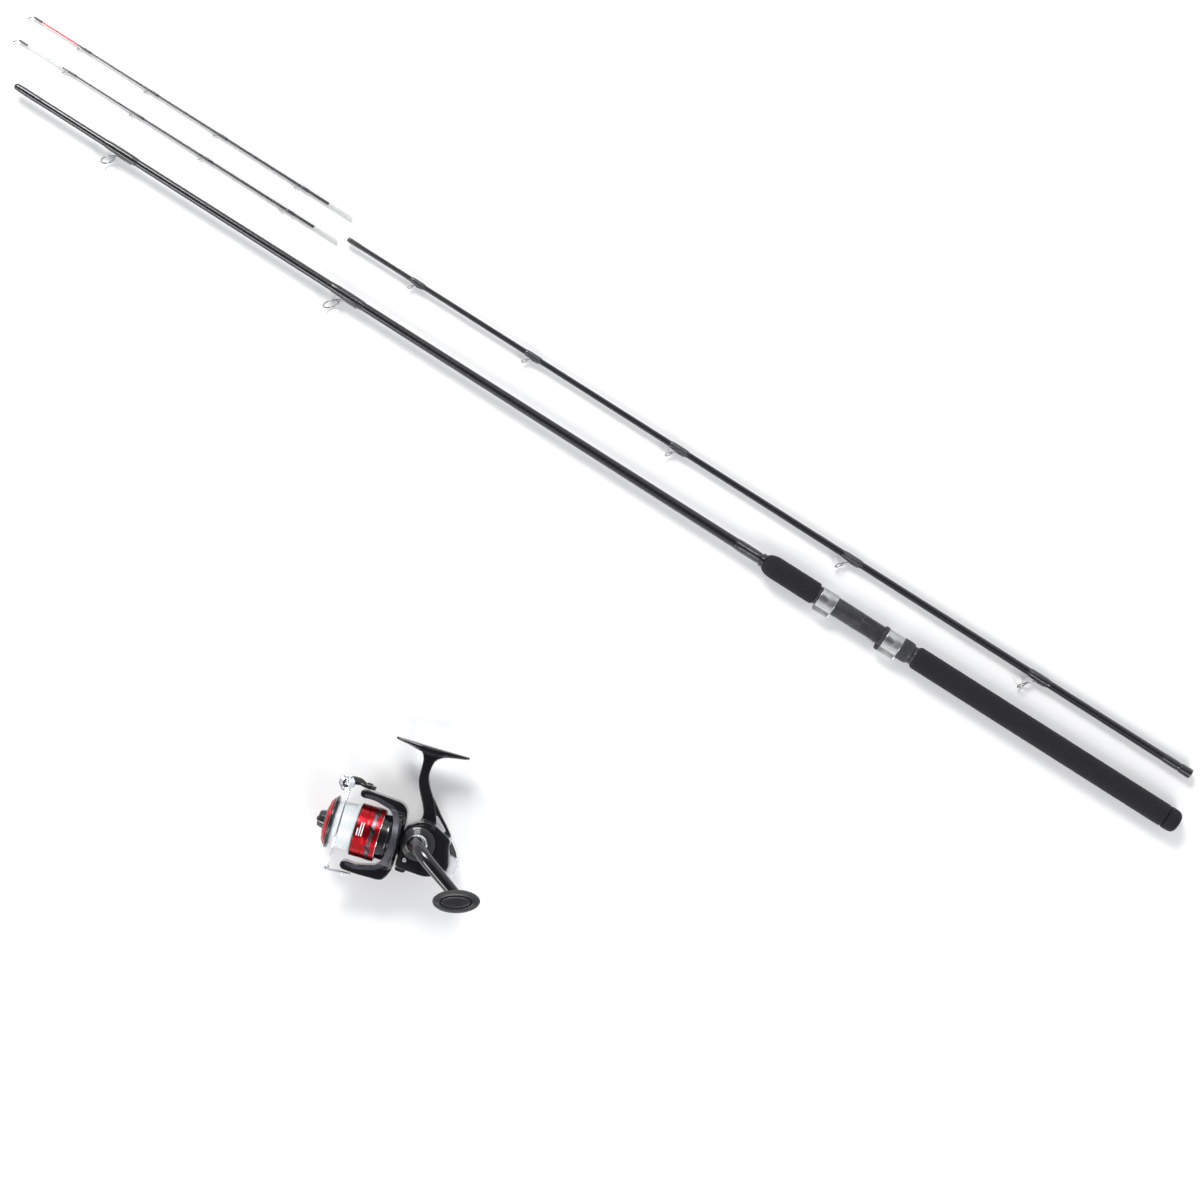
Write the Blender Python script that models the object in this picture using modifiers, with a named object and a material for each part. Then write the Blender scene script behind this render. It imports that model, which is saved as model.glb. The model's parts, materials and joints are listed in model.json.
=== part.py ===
"""Two-piece feeder rod laid out in its parts, with a front-drag spinning reel beside it.

The rod sections lie parallel along X on the surface Z = 0.  The reel lies on its side next to them,
its crank pointing up.  Every length below is in millimetres and becomes metres through MM.
"""
import math

import bmesh
import bpy
from mathutils import Matrix, Vector

MM = 0.001
GAP = 0.3                    # clearance between neighbouring solids

# Rod, positions measured along X from the layout's left end
BUTT_TIP_X = 51.6
BUTT_END_X = 1278.0
REAR_GRIP_X = 999.8
SEAT_FRONT_X = 897.0
FORE_GRIP_X = 842.0
GRIP_RADIUS = 10.6
FORE_GRIP_RADIUS = 10.3
GRIP_BORE = 5.3
BARREL_RADIUS = 8.6
BLANK_TIP_RADIUS = 3.2
BLANK_GRIP_RADIUS = 4.9
CAP_LENGTH = 14.0
BUTT_ROLL = math.radians(13)
HOOD_LENGTH = 16.0
FIXED_HOOD_X = 899.8
MOVING_HOOD_X = 968.6
HOOD_RADIUS = 9.8
POCKET_TOP = 12.4            # hood's outer face over the pocket, from the rod's axis
POCKET_HALF_WIDTH = 4.5
BUTT_GUIDES = ((113.0, 5.7, 12.0), (351.0, 6.7, 14.0))    # place, ring radius, ring centre's reach
GUIDE_LEAN = math.radians(35)

# Tip section and quiver tips
TIP_TOP_X = 374.7
TIP_BASE_X = 1264.7
TIP_Y = 43.6
TIP_Z = 6.3
TIP_ROLL = math.radians(8)
TIP_TOP_RADIUS = 2.1
TIP_BASE_RADIUS = 3.9
SOCKET_RADIUS = 3.25
SOCKET_DEPTH = 45.0
TIP_GUIDES = ((74.0, 2.1, 6.5), (196.0, 2.4, 7.5), (350.0, 2.8, 9.0), (533.0, 3.2, 11.0),
              (730.0, 3.7, 14.0))
QUIVER_TOP_X = 31.2
QUIVER_LENGTH = 336.0
QUIVER_GUIDES = (51.0, 122.0, 195.0, 281.0)
WHITE_QUIVER_Y = 36.5
RED_QUIVER_Y = 61.0
QUIVER_Z = 2.3
QUIVER_TOP_RADIUS = 0.7
QUIVER_BASE_RADIUS = 1.45

# Reel, in its own frame: X forward to the spool's front, Y to the crank, Z up to the foot
REEL_X = 718.0
REEL_Y = -378.0
REEL_REST = 28.0             # height of the spool axis over the surface
REEL_YAW = math.radians(195.8)
CRANK_Z = 4.5
BAIL_X = 56.0
CASE_RIGHT = -14.0           # the casing's two sides, across the spool axis
CASE_LEFT = 17.0
CAP_RIGHT = -17.0
STEM_HALF = 4.6
FOOT_HALF = 9.5
BEARING_RADIUS = 5.0
DRIVE_RADIUS = 2.2
DRIVE_BORE = 2.5
SHAFT_RADIUS = 1.6
SHAFT_BORE = 1.9
SHAFT_REAR = -21.0
SHAFT_FRONT = 88.6
ROTOR_RADIUS = 27.5
ROTOR_REAR = 15.7
ROTOR_FRONT = 25.5
DRUM_RADIUS = 20.3
DRUM_FRONT = 42.0
ARM_HALF = 9.6
ROLLER_PLACE = (74.7, 0, 38.2)
HOLDER_PLACE = (71.7, 12.2)
LINE_RADIUS = 16.8           # bottom of the wound line
LIP_RADIUS = 23.9
SKIRT_RADIUS = 23.7
SKIRT_BORE = 22.5
SKIRT_REAR = 34.7
SKIRT_FRONT = 57.2
SPOOL_FRONT = 80.6
RING_REAR = 80.9
RING_BORE = 14.9
DISC_BORE = 9.8
KNOB_RADIUS = 9.3
CRANK_DIRECTION = (-0.839, 0, -0.545)
CRANK_REACH = 57
KNOB_TURN = math.atan2(0.286, -0.958)
KNOB_HALVES = (20.5, 10.0, 8.8)
KNOB_HEIGHT = 79.0
KNOB_FACE = 86.4
SPINDLE_RADIUS = 2.2
GEAR_TEETH = 39
PINION_TEETH = 8


def material(name, colour, roughness, metallic=0.0):
    """A Principled material, made once."""
    found = bpy.data.materials.get(name)
    if found:
        return found
    made = bpy.data.materials.new(name)
    made.use_nodes = True
    shader = made.node_tree.nodes["Principled BSDF"]
    shader.inputs["Base Color"].default_value = (*colour, 1.0)
    shader.inputs["Roughness"].default_value = roughness
    shader.inputs["Metallic"].default_value = metallic
    return made


MATERIALS = {
    "carbon": ((0.015, 0.015, 0.02), 0.25, 0.0),
    "foam": ((0.02, 0.02, 0.023), 0.85, 0.0),
    "seat_plastic": ((0.03, 0.03, 0.035), 0.45, 0.0),
    "gloss_black": ((0.008, 0.008, 0.01), 0.18, 0.0),
    "satin_black": ((0.012, 0.012, 0.014), 0.4, 0.0),
    "chrome": ((0.8, 0.82, 0.83), 0.1, 1.0),
    "silver": ((0.62, 0.62, 0.63), 0.3, 1.0),
    "red_metal": ((0.55, 0.01, 0.015), 0.25, 1.0),
    "clear_plastic": ((0.8, 0.8, 0.85), 0.25, 0.0),
    "line": ((0.8, 0.85, 0.86), 0.3, 0.0),
    "brass": ((0.75, 0.55, 0.25), 0.3, 1.0),
    "zinc": ((0.55, 0.55, 0.54), 0.4, 1.0),
    "felt": ((0.5, 0.47, 0.4), 0.9, 0.0),
    "whipping": ((0.012, 0.012, 0.014), 0.2, 0.0),
    "red_tip": ((0.8, 0.02, 0.02), 0.4, 0.0),
    "white_tip": ((0.85, 0.85, 0.85), 0.4, 0.0),
}


def empty(name, parent=None, location=(0, 0, 0), rotation=(0, 0, 0)):
    """A named frame that pieces are placed in; the location is in millimetres."""
    frame = bpy.data.objects.new(name, None)
    COLLECTION.objects.link(frame)
    frame.parent = parent
    frame.location = Vector(location) * MM
    frame.rotation_euler = rotation
    return frame


def piece(name, mesh, look, parent, location=(0, 0, 0), rotation=(0, 0, 0), cutter=False):
    """Put a mesh in the scene as a named piece, or as a hidden cutter."""
    made = bpy.data.objects.new(name, mesh)
    (CUTTERS if cutter else COLLECTION).objects.link(made)
    made.parent = parent
    made.location = Vector(location) * MM
    made.rotation_euler = rotation
    if look:
        mesh.materials.append(material(look, *MATERIALS[look]))
    if cutter:
        made.hide_render = True
        made.display_type = "WIRE"
    return made


def mesh_of(builder, name):
    """Run a bmesh builder and return its mesh, smooth with sharp edges kept."""
    shape = bmesh.new()
    builder(shape)
    bmesh.ops.scale(shape, vec=(MM, MM, MM), verts=shape.verts)
    bmesh.ops.remove_doubles(shape, verts=shape.verts, dist=1e-6)
    bmesh.ops.recalc_face_normals(shape, faces=shape.faces)
    mesh = bpy.data.meshes.new(name)
    shape.to_mesh(mesh)
    shape.free()
    mesh.shade_smooth()
    mesh.set_sharp_from_angle(angle=math.radians(40))
    return mesh


ALONG = {"X": (0, math.pi / 2, 0), "Y": (-math.pi / 2, 0, 0), "Z": (0, 0, 0)}


def turned(name, profile, look, parent, location=(0, 0, 0), along="X", steps=20, closed=False,
           cutter=False, rotation=None):
    """A turned solid: profile points (radius, height) run down its outer side, height along the axis.

    A closed profile makes a ring; an open one starts and ends on the axis.
    """
    mesh = bpy.data.meshes.new(name)
    points = [(radius * MM, 0.0, height * MM) for radius, height in profile]
    edges = [(i, i + 1) for i in range(len(points) - 1)]
    if closed:
        edges.append((len(points) - 1, 0))
    mesh.from_pydata(points, edges, [])
    made = piece(name, mesh, look, parent, location, rotation or ALONG[along], cutter)
    screw = made.modifiers.new("turn", "SCREW")
    screw.axis = "Z"
    screw.angle = 2 * math.pi
    screw.steps = steps
    screw.render_steps = steps
    screw.use_merge_vertices = True
    screw.merge_threshold = 0.00001
    screw.use_smooth_shade = True
    return made


def rod_shape(name, radius, low, high, look, parent, location=(0, 0, 0), along="X", steps=16,
              bore=0.0, chamfer=0.0, cutter=False, rotation=None):
    """A plain round bar or bush from low to high along its axis, with chamfered ends."""
    top = [(radius - chamfer, high), (radius, high - chamfer)] if chamfer else [(radius, high)]
    bottom = [(radius, low + chamfer), (radius - chamfer, low)] if chamfer else [(radius, low)]
    if bore:
        profile = [(bore, high)] + top + bottom + [(bore, low)]
        return turned(name, profile, look, parent, location, along, steps, True, cutter, rotation)
    profile = [(0, high)] + top + bottom + [(0, low)]
    return turned(name, profile, look, parent, location, along, steps, False, cutter, rotation)


def smooth_path(points, count):
    """Points on a Catmull-Rom curve through the given ones, count to each span."""
    ends = [points[0] * 2 - points[1]] + list(points) + [points[-1] * 2 - points[-2]]
    made = []
    for a, b, c, d in zip(ends, ends[1:], ends[2:], ends[3:]):
        for step in range(count):
            t = step / count
            made.append(0.5 * (2 * b + (c - a) * t + (2 * a - 5 * b + 4 * c - d) * t * t
                               + (3 * b - a - 3 * c + d) * t ** 3))
    made.append(points[-1])
    return made


def tube(name, points, radii, look, parent, location=(0, 0, 0), rotation=(0, 0, 0), sides=2,
         smooth=0, cutter=False):
    """A round wire or tube along points; radii gives one radius, or the first and last."""
    route = [Vector(point) for point in points]
    if smooth:
        route = smooth_path(route, smooth)
    first, last = radii if isinstance(radii, tuple) else (radii, radii)
    curve = bpy.data.curves.new(name, "CURVE")
    curve.dimensions = "3D"
    curve.bevel_depth = MM
    curve.bevel_resolution = sides
    curve.use_fill_caps = True
    spline = curve.splines.new("POLY")
    spline.points.add(len(route) - 1)
    for index, (point, place) in enumerate(zip(spline.points, route)):
        share = index / (len(route) - 1)
        point.co = (*(place * MM), 1.0)
        point.radius = first + (last - first) * share
    return as_mesh(name, curve, look, parent, location, rotation, cutter)


def as_mesh(name, curve, look, parent, location, rotation, cutter):
    """Turn a curve into a welded mesh piece, and remove the curve."""
    source = bpy.data.objects.new(name + "_curve", curve)
    bpy.context.scene.collection.objects.link(source)
    bpy.context.view_layer.update()
    graph = bpy.context.evaluated_depsgraph_get()
    mesh = bpy.data.meshes.new_from_object(source.evaluated_get(graph))
    bpy.data.objects.remove(source)
    bpy.data.curves.remove(curve)
    shape = bmesh.new()
    shape.from_mesh(mesh)
    bmesh.ops.remove_doubles(shape, verts=shape.verts, dist=1e-6)
    bmesh.ops.recalc_face_normals(shape, faces=shape.faces)
    shape.to_mesh(mesh)
    shape.free()
    mesh.name = name
    mesh.shade_smooth()
    mesh.set_sharp_from_angle(angle=math.radians(40))
    mesh.materials.clear()
    return piece(name, mesh, look, parent, location, rotation, cutter)


PLANES = {"XZ": (math.pi / 2, 0, 0), "XY": (0, 0, 0), "YZ": (math.pi / 2, 0, math.pi / 2)}


def plate(name, outline, low, high, look, parent, plane="XZ", location=(0, 0, 0), bevel=0.0,
          cutter=False):
    """A flat outline extruded between two depths across its plane, edges optionally rounded.

    In plane XZ the depth runs along +Y, in XY along +Z and in YZ along +X.
    """
    curve = bpy.data.curves.new(name, "CURVE")
    curve.dimensions = "2D"
    curve.fill_mode = "BOTH"
    curve.extrude = (high - low) / 2 * MM
    spline = curve.splines.new("POLY")
    spline.points.add(len(outline) - 1)
    for point, (across, up) in zip(spline.points, outline):
        point.co = (across * MM, up * MM, 0.0, 1.0)
    spline.use_cyclic_u = True
    middle = (low + high) / 2
    shift = {"XZ": (0, middle, 0), "XY": (0, 0, middle), "YZ": (middle, 0, 0)}[plane]
    place = Vector(location) + Vector(shift)
    made = as_mesh(name, curve, look, parent, place, PLANES[plane], cutter)
    if bevel:
        edge = made.modifiers.new("edge", "BEVEL")
        edge.width = bevel * MM
        edge.segments = 2
        edge.limit_method = "ANGLE"
        edge.angle_limit = math.radians(50)
    return made


def combine(target, tool, how):
    """Cut, join or intersect a piece with a hidden tool piece."""
    change = target.modifiers.new(how.lower(), "BOOLEAN")
    change.operation = how
    change.object = tool
    tool.hide_render = True
    tool.display_type = "WIRE"
    return target


def arc(centre, radius, start, end, count):
    """Points on an arc, angles in degrees."""
    across, up = centre
    angles = [math.radians(start + (end - start) * i / count) for i in range(count + 1)]
    return [(across + radius * math.cos(a), up + radius * math.sin(a)) for a in angles]


def ring(name, radius, wire, look, parent, centre, lean, steps=14, sides=4, cutter=False):
    """A wire ring whose axis leans from X towards -Y by the lean angle."""
    angles = [-2 * math.pi * i / sides for i in range(sides)]
    profile = [(radius + wire * math.cos(a), wire * math.sin(a)) for a in angles]
    turn = (0, math.pi / 2, -lean)
    return turned(name, profile, look, parent, centre, steps=steps, closed=True, cutter=cutter,
                  rotation=turn)


def line_guide(name, parent, x, blank_radius, ring_radius, reach, wire, sleeve):
    """A guide: a whipped sleeve round the blank, a Y-shaped wire leg and a ring on the -Y side."""
    half = sleeve / 2
    bore = blank_radius + 0.15
    outer = bore + 0.65
    made = rod_shape(name, outer, -half, half, "whipping", parent, (x, 0, 0), steps=12, bore=bore,
                     chamfer=0.4)
    out = Vector((-math.sin(GUIDE_LEAN), -math.cos(GUIDE_LEAN), 0))
    centre = out * (reach / math.cos(GUIDE_LEAN))
    neck = centre - out * ring_radius + Vector((0.0, 0.0, 0.07))
    root = -(bore + wire + 0.2)
    shift = Vector((x, 0, 0))
    front_foot = Vector((-half * 0.25, root, 0))
    front_bend = front_foot * 0.5 + neck * 0.5 + Vector((wire * 0.8, 0, 0))
    rear_foot = Vector((half * 0.6, root, 0))
    rear_bend = Vector((half * 0.3, root * 0.9 + front_bend.y * 0.1, 0))
    routes = (("front", [front_foot, front_bend, neck]), ("rear", [rear_foot, rear_bend, front_bend]))
    for leg, route in routes:
        wire_leg = tube(f"{name}_{leg}", route, wire, None, parent, shift, sides=0, smooth=2, cutter=True)
        combine(made, wire_leg, "UNION")
    eye = ring(name + "_eye", ring_radius, wire, None, parent, shift + centre, GUIDE_LEAN, cutter=True)
    combine(made, eye, "UNION")
    return made


def hood_outline(radius, top, half_width):
    """A round collar with a flat-topped pocket housing on its -Y side, in the YZ plane."""
    round_side = arc((0, 0), radius, -125, 125, 18)
    corner = 0.9
    return round_side + [(-top + corner, half_width + corner), (-top, half_width), (-top, -half_width),
                         (-top + corner, -half_width - corner)]


def hood(name, parent, low, high, pocket_low, pocket_high, look):
    """A reel-seat hood: a bored collar whose pocket takes one end of the reel's foot."""
    made = plate(name, hood_outline(HOOD_RADIUS, POCKET_TOP, POCKET_HALF_WIDTH), low, high, look, parent,
                 "YZ")
    bore = rod_shape(name + "_bore", BARREL_RADIUS + GAP, low - 1, high + 1, None, parent, steps=24,
                     cutter=True)
    combine(made, bore, "DIFFERENCE")
    pocket_wall = 0.9
    floor = -(POCKET_TOP - pocket_wall)
    mouth = [(floor, -POCKET_HALF_WIDTH), (-6.0, -POCKET_HALF_WIDTH), (-6.0, POCKET_HALF_WIDTH),
             (floor, POCKET_HALF_WIDTH)]
    pocket = plate(name + "_pocket", mouth, pocket_low, pocket_high, None, parent, "YZ", cutter=True)
    combine(made, pocket, "DIFFERENCE")
    return made


def butt_radius(x):
    """The butt blank's radius at a place along it."""
    share = (x - BUTT_TIP_X) / (FORE_GRIP_X - BUTT_TIP_X)
    return BLANK_TIP_RADIUS + (BLANK_GRIP_RADIUS - BLANK_TIP_RADIUS) * min(max(share, 0), 1)


def build_butt_section(layout):
    """Butt blank with its guides, grips, reel seat and cap."""
    frame = empty("butt_frame", layout, (0, 0, GRIP_RADIUS), (BUTT_ROLL, 0, 0))
    cap_x = BUTT_END_X - CAP_LENGTH
    nose = [(BLANK_TIP_RADIUS * math.cos(a), BUTT_TIP_X + BLANK_TIP_RADIUS * (1 - math.sin(a)))
            for a in (math.radians(30 * i) for i in range(4))]
    nose[-1] = (0, BUTT_TIP_X)
    turned("butt_blank", [(0, cap_x), (BLANK_GRIP_RADIUS, cap_x), (BLANK_GRIP_RADIUS, FORE_GRIP_X)] + nose,
           "carbon", frame, steps=16)
    for number, (place, ring_radius, reach) in enumerate(BUTT_GUIDES, 1):
        x = BUTT_TIP_X + place
        line_guide(f"butt_guide_{number}", frame, x, butt_radius(x + 17), ring_radius, reach, 0.8, 34.0)
    rod_shape("winding_check", 6.3, FORE_GRIP_X - 4.0, FORE_GRIP_X - GAP, "silver", frame, bore=GRIP_BORE,
              chamfer=0.5, steps=24)
    shoulder = 4.0
    front = FORE_GRIP_X
    rear = SEAT_FRONT_X - GAP
    turned("fore_grip", [(GRIP_BORE, rear), (FORE_GRIP_RADIUS - 0.8, rear), (FORE_GRIP_RADIUS, rear - 1.0),
                         (FORE_GRIP_RADIUS, front + 9.0), (FORE_GRIP_RADIUS - 1.2, front + shoulder),
                         (6.8, front), (GRIP_BORE, front)], "foam", frame, closed=True, steps=28)
    seat_end = REAR_GRIP_X - GAP
    turned("seat_barrel", [(GRIP_BORE, seat_end), (BARREL_RADIUS, seat_end), (BARREL_RADIUS, SEAT_FRONT_X),
                           (GRIP_BORE, SEAT_FRONT_X)], "seat_plastic", frame, closed=True, steps=28)
    fixed_end = FIXED_HOOD_X + HOOD_LENGTH
    hood("fixed_hood", frame, FIXED_HOOD_X, fixed_end, FIXED_HOOD_X + 7.0, fixed_end + 1, "silver")
    moving_end = MOVING_HOOD_X + HOOD_LENGTH
    hood("moving_hood", frame, MOVING_HOOD_X, moving_end, MOVING_HOOD_X - 1, moving_end - 7.0, "silver")
    lip_low = MOVING_HOOD_X - GAP - 3.4
    hood("moving_hood_lip", frame, lip_low, MOVING_HOOD_X - GAP, lip_low - 1, MOVING_HOOD_X + 1,
         "seat_plastic")
    nut_low = moving_end + GAP
    turned("lock_nut", [(BARREL_RADIUS + GAP, nut_low + 11.0), (9.5, nut_low + 11.0), (10.1, nut_low + 8.5),
                        (10.1, nut_low), (BARREL_RADIUS + GAP, nut_low)], "seat_plastic", frame, closed=True,
           steps=28)
    grip_end = cap_x - GAP
    turned("rear_grip", [(GRIP_BORE, grip_end), (GRIP_RADIUS, grip_end), (GRIP_RADIUS, REAR_GRIP_X + 2.2),
                         (GRIP_RADIUS - 1.6, REAR_GRIP_X), (GRIP_BORE, REAR_GRIP_X)], "foam", frame,
           closed=True, steps=28)
    end = BUTT_END_X
    turned("butt_cap", [(0, end), (6.0, end), (9.2, end - 1.6), (GRIP_RADIUS, end - 5.0),
                        (GRIP_RADIUS, cap_x + GAP), (0, cap_x + GAP)], "foam", frame, steps=28)


def tip_radius(x):
    """The tip section's radius at a place along it."""
    share = (x - TIP_TOP_X) / (TIP_BASE_X - TIP_TOP_X)
    return TIP_TOP_RADIUS + (TIP_BASE_RADIUS - TIP_TOP_RADIUS) * share


def build_tip_section(layout):
    """Tip section: a tapered blank, a socket at each end, a sleeve at the base and five guides."""
    frame = empty("tip_frame", layout, (0, TIP_Y, TIP_Z), (TIP_ROLL, 0, 0))
    depth_x = TIP_BASE_X - SOCKET_DEPTH
    quiver_socket = QUIVER_BASE_RADIUS + 0.1
    socket_end = TIP_TOP_X + 30.0
    turned("tip_blank", [(0, depth_x), (SOCKET_RADIUS, depth_x), (SOCKET_RADIUS, TIP_BASE_X),
                         (TIP_BASE_RADIUS, TIP_BASE_X), (TIP_TOP_RADIUS, TIP_TOP_X),
                         (quiver_socket, TIP_TOP_X), (quiver_socket, socket_end), (0, socket_end)],
           "carbon", frame, steps=16)
    rod_shape("ferrule_sleeve", TIP_BASE_RADIUS + 0.75, TIP_BASE_X - 11.5, TIP_BASE_X, "whipping", frame,
              bore=TIP_BASE_RADIUS + 0.15, chamfer=0.3, steps=16)
    for number, (place, ring_radius, reach) in enumerate(TIP_GUIDES, 1):
        x = TIP_TOP_X + place
        sleeve = 13.0 + 1.8 * number
        line_guide(f"tip_guide_{number}", frame, x, tip_radius(x + sleeve / 2), ring_radius, reach,
                   0.45 + 0.04 * number, sleeve)


def build_quiver(name, layout, y, look):
    """A quiver tip: a thin tapered solid blank with small guides, in one piece with them."""
    frame = empty(name + "_frame", layout, (0, y, QUIVER_Z))
    base_x = QUIVER_TOP_X + QUIVER_LENGTH
    made = turned(name, [(0, base_x), (QUIVER_BASE_RADIUS, base_x), (QUIVER_TOP_RADIUS, QUIVER_TOP_X),
                         (0, QUIVER_TOP_X)], look, frame, steps=10)
    places = ((-1.0, 1.35),) + tuple((place, 1.5) for place in QUIVER_GUIDES)
    for number, (place, ring_radius) in enumerate(places):
        x = QUIVER_TOP_X + place
        reach = 2.6 + ring_radius
        out = Vector((-math.sin(GUIDE_LEAN), -math.cos(GUIDE_LEAN), 0))
        centre = out * reach
        route = [Vector((3.0, 0, 0)), Vector((0.6, -0.7, 0)), centre - out * ring_radius]
        leg = tube(f"{name}_leg_{number}", route, 0.42, None, frame, (x, 0, 0), sides=0, smooth=1,
                   cutter=True)
        combine(made, leg, "UNION")
        eye = ring(f"{name}_eye_{number}", ring_radius, 0.4, None, frame, Vector((x, 0, 0)) + centre,
                   GUIDE_LEAN, steps=8, sides=3, cutter=True)
        combine(made, eye, "UNION")


def oval(half_long, half_short, count, turn=0.0):
    """An ellipse outline, its long axis turned by an angle in degrees."""
    tilt = math.radians(turn)
    made = []
    for index in range(count):
        angle = 2 * math.pi * index / count
        along = half_long * math.cos(angle)
        across = half_short * math.sin(angle)
        made.append((along * math.cos(tilt) - across * math.sin(tilt),
                     along * math.sin(tilt) + across * math.cos(tilt)))
    return made


def gear_outline(root, tip, teeth):
    """A gear outline with flat-topped teeth."""
    made = []
    pitch = 2 * math.pi / teeth
    for tooth in range(teeth):
        for share, radius in ((0.2, root), (0.38, tip), (0.62, tip), (0.8, root)):
            angle = (tooth + share) * pitch
            made.append((radius * math.cos(angle), radius * math.sin(angle)))
    return made


BODY_OUTLINE = [(14.3, -20.5), (4.0, -21.3), (-12.6, -22.0), (-25.7, -17.8), (-30.8, -11.5),
                 (-31.2, -7.5),
                (-28.5, 2.8), (-26.4, 9.5), (-26.6, 15.5), (-21.9, 18.3), (-9.9, 24.3), (2.5, 25.0),
                (7.5, 21.5), (14.3, 17.0)]
CAVITY_OUTLINE = [(11.8, -18.0), (3.5, -18.8), (-12.0, -19.4), (-24.2, -15.4), (-28.2, -10.0),
                  (-25.8, 3.0), (-23.8, 13.2), (-11.0, 18.6), (6.0, 18.6), (11.8, 15.0)]
STEM_OUTLINE = [(25.5, 85.0), (19.5, 80.6), (17.0, 76.1), (16.6, 67.3), (16.5, 59.4), (15.4, 54.9),
                (12.4, 47.9), (7.0, 38.3), (3.6, 31.4), (2.5, 22.5), (-10.0, 19.5), (-24.0, 13.0),
                (-26.0, 17.6), (-19.6, 25.1), (-12.1, 32.9), (-2.2, 44.9), (2.9, 51.3), (6.4, 57.6),
                (8.4, 63.4), (8.4, 69.7), (7.2, 76.4), (2.3, 81.9), (-11.0, 85.0)]
WINDOW_OUTLINE = [(-6.8, 33.4), (-10.0, 25.6), (-20.4, 20.4)]
FOOT_OUTLINE = [(-21.8, 88.8), (-21.8, 86.4), (-12.8, 84.9), (2.3, 82.4), (7.2, 80.6), (19.5, 81.6),
                (24.9, 83.4), (38.2, 85.6), (45.4, 86.4), (45.4, 88.8)]
FOOT_PLAN = [(-21.8, -3.6), (-18.5, -4.4), (-9.0, -6.2), (2.0, -8.5), (22.0, -8.5), (33.0, -6.2),
             (42.0, -4.4), (45.4, -3.6), (45.4, 3.6), (42.0, 4.4), (33.0, 6.2), (22.0, 8.5), (2.0, 8.5),
             (-9.0, 6.2), (-18.5, 4.4), (-21.8, 3.6)]
ROTOR_SIDE = [(61.5, 36.6), (44.4, 35.7), (23.3, 34.4), (18.2, 30.2), (16.5, 26.0), (15.8, 18.3),
              (15.8, -18.3), (16.5, -26.0), (18.8, -32.4), (22.7, -37.0), (44.4, -37.6), (61.5, -36.6),
              (61.5, -28.4), (48.0, -29.5), (36.0, -25.8), (29.6, -23.6), (26.1, -18.3), (24.2, -9.0),
              (23.2, 0.0), (24.2, 9.0), (26.1, 18.3), (29.6, 23.6), (36.0, 25.8), (48.0, 29.5),
              (61.5, 28.4)]
REAR_COVER = [(-28.9, 2.4), (-36.8, 0.5), (-39.6, -5.7), (-37.9, -8.7), (-36.0, -15.0), (-33.7, -20.2),
              (-30.0, -21.3), (-26.3, -18.4), (-31.3, -11.8), (-31.7, -7.4)]
REAR_TRIM = [(-27.1, 15.0), (-26.9, 9.3), (-29.0, 3.0), (-36.6, 1.1), (-34.0, 6.4)]
LEVER = [(5.0, -22.0), (12.4, -21.5), (14.3, -22.5), (13.4, -25.0), (6.2, -25.4), (4.4, -23.6)]


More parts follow.
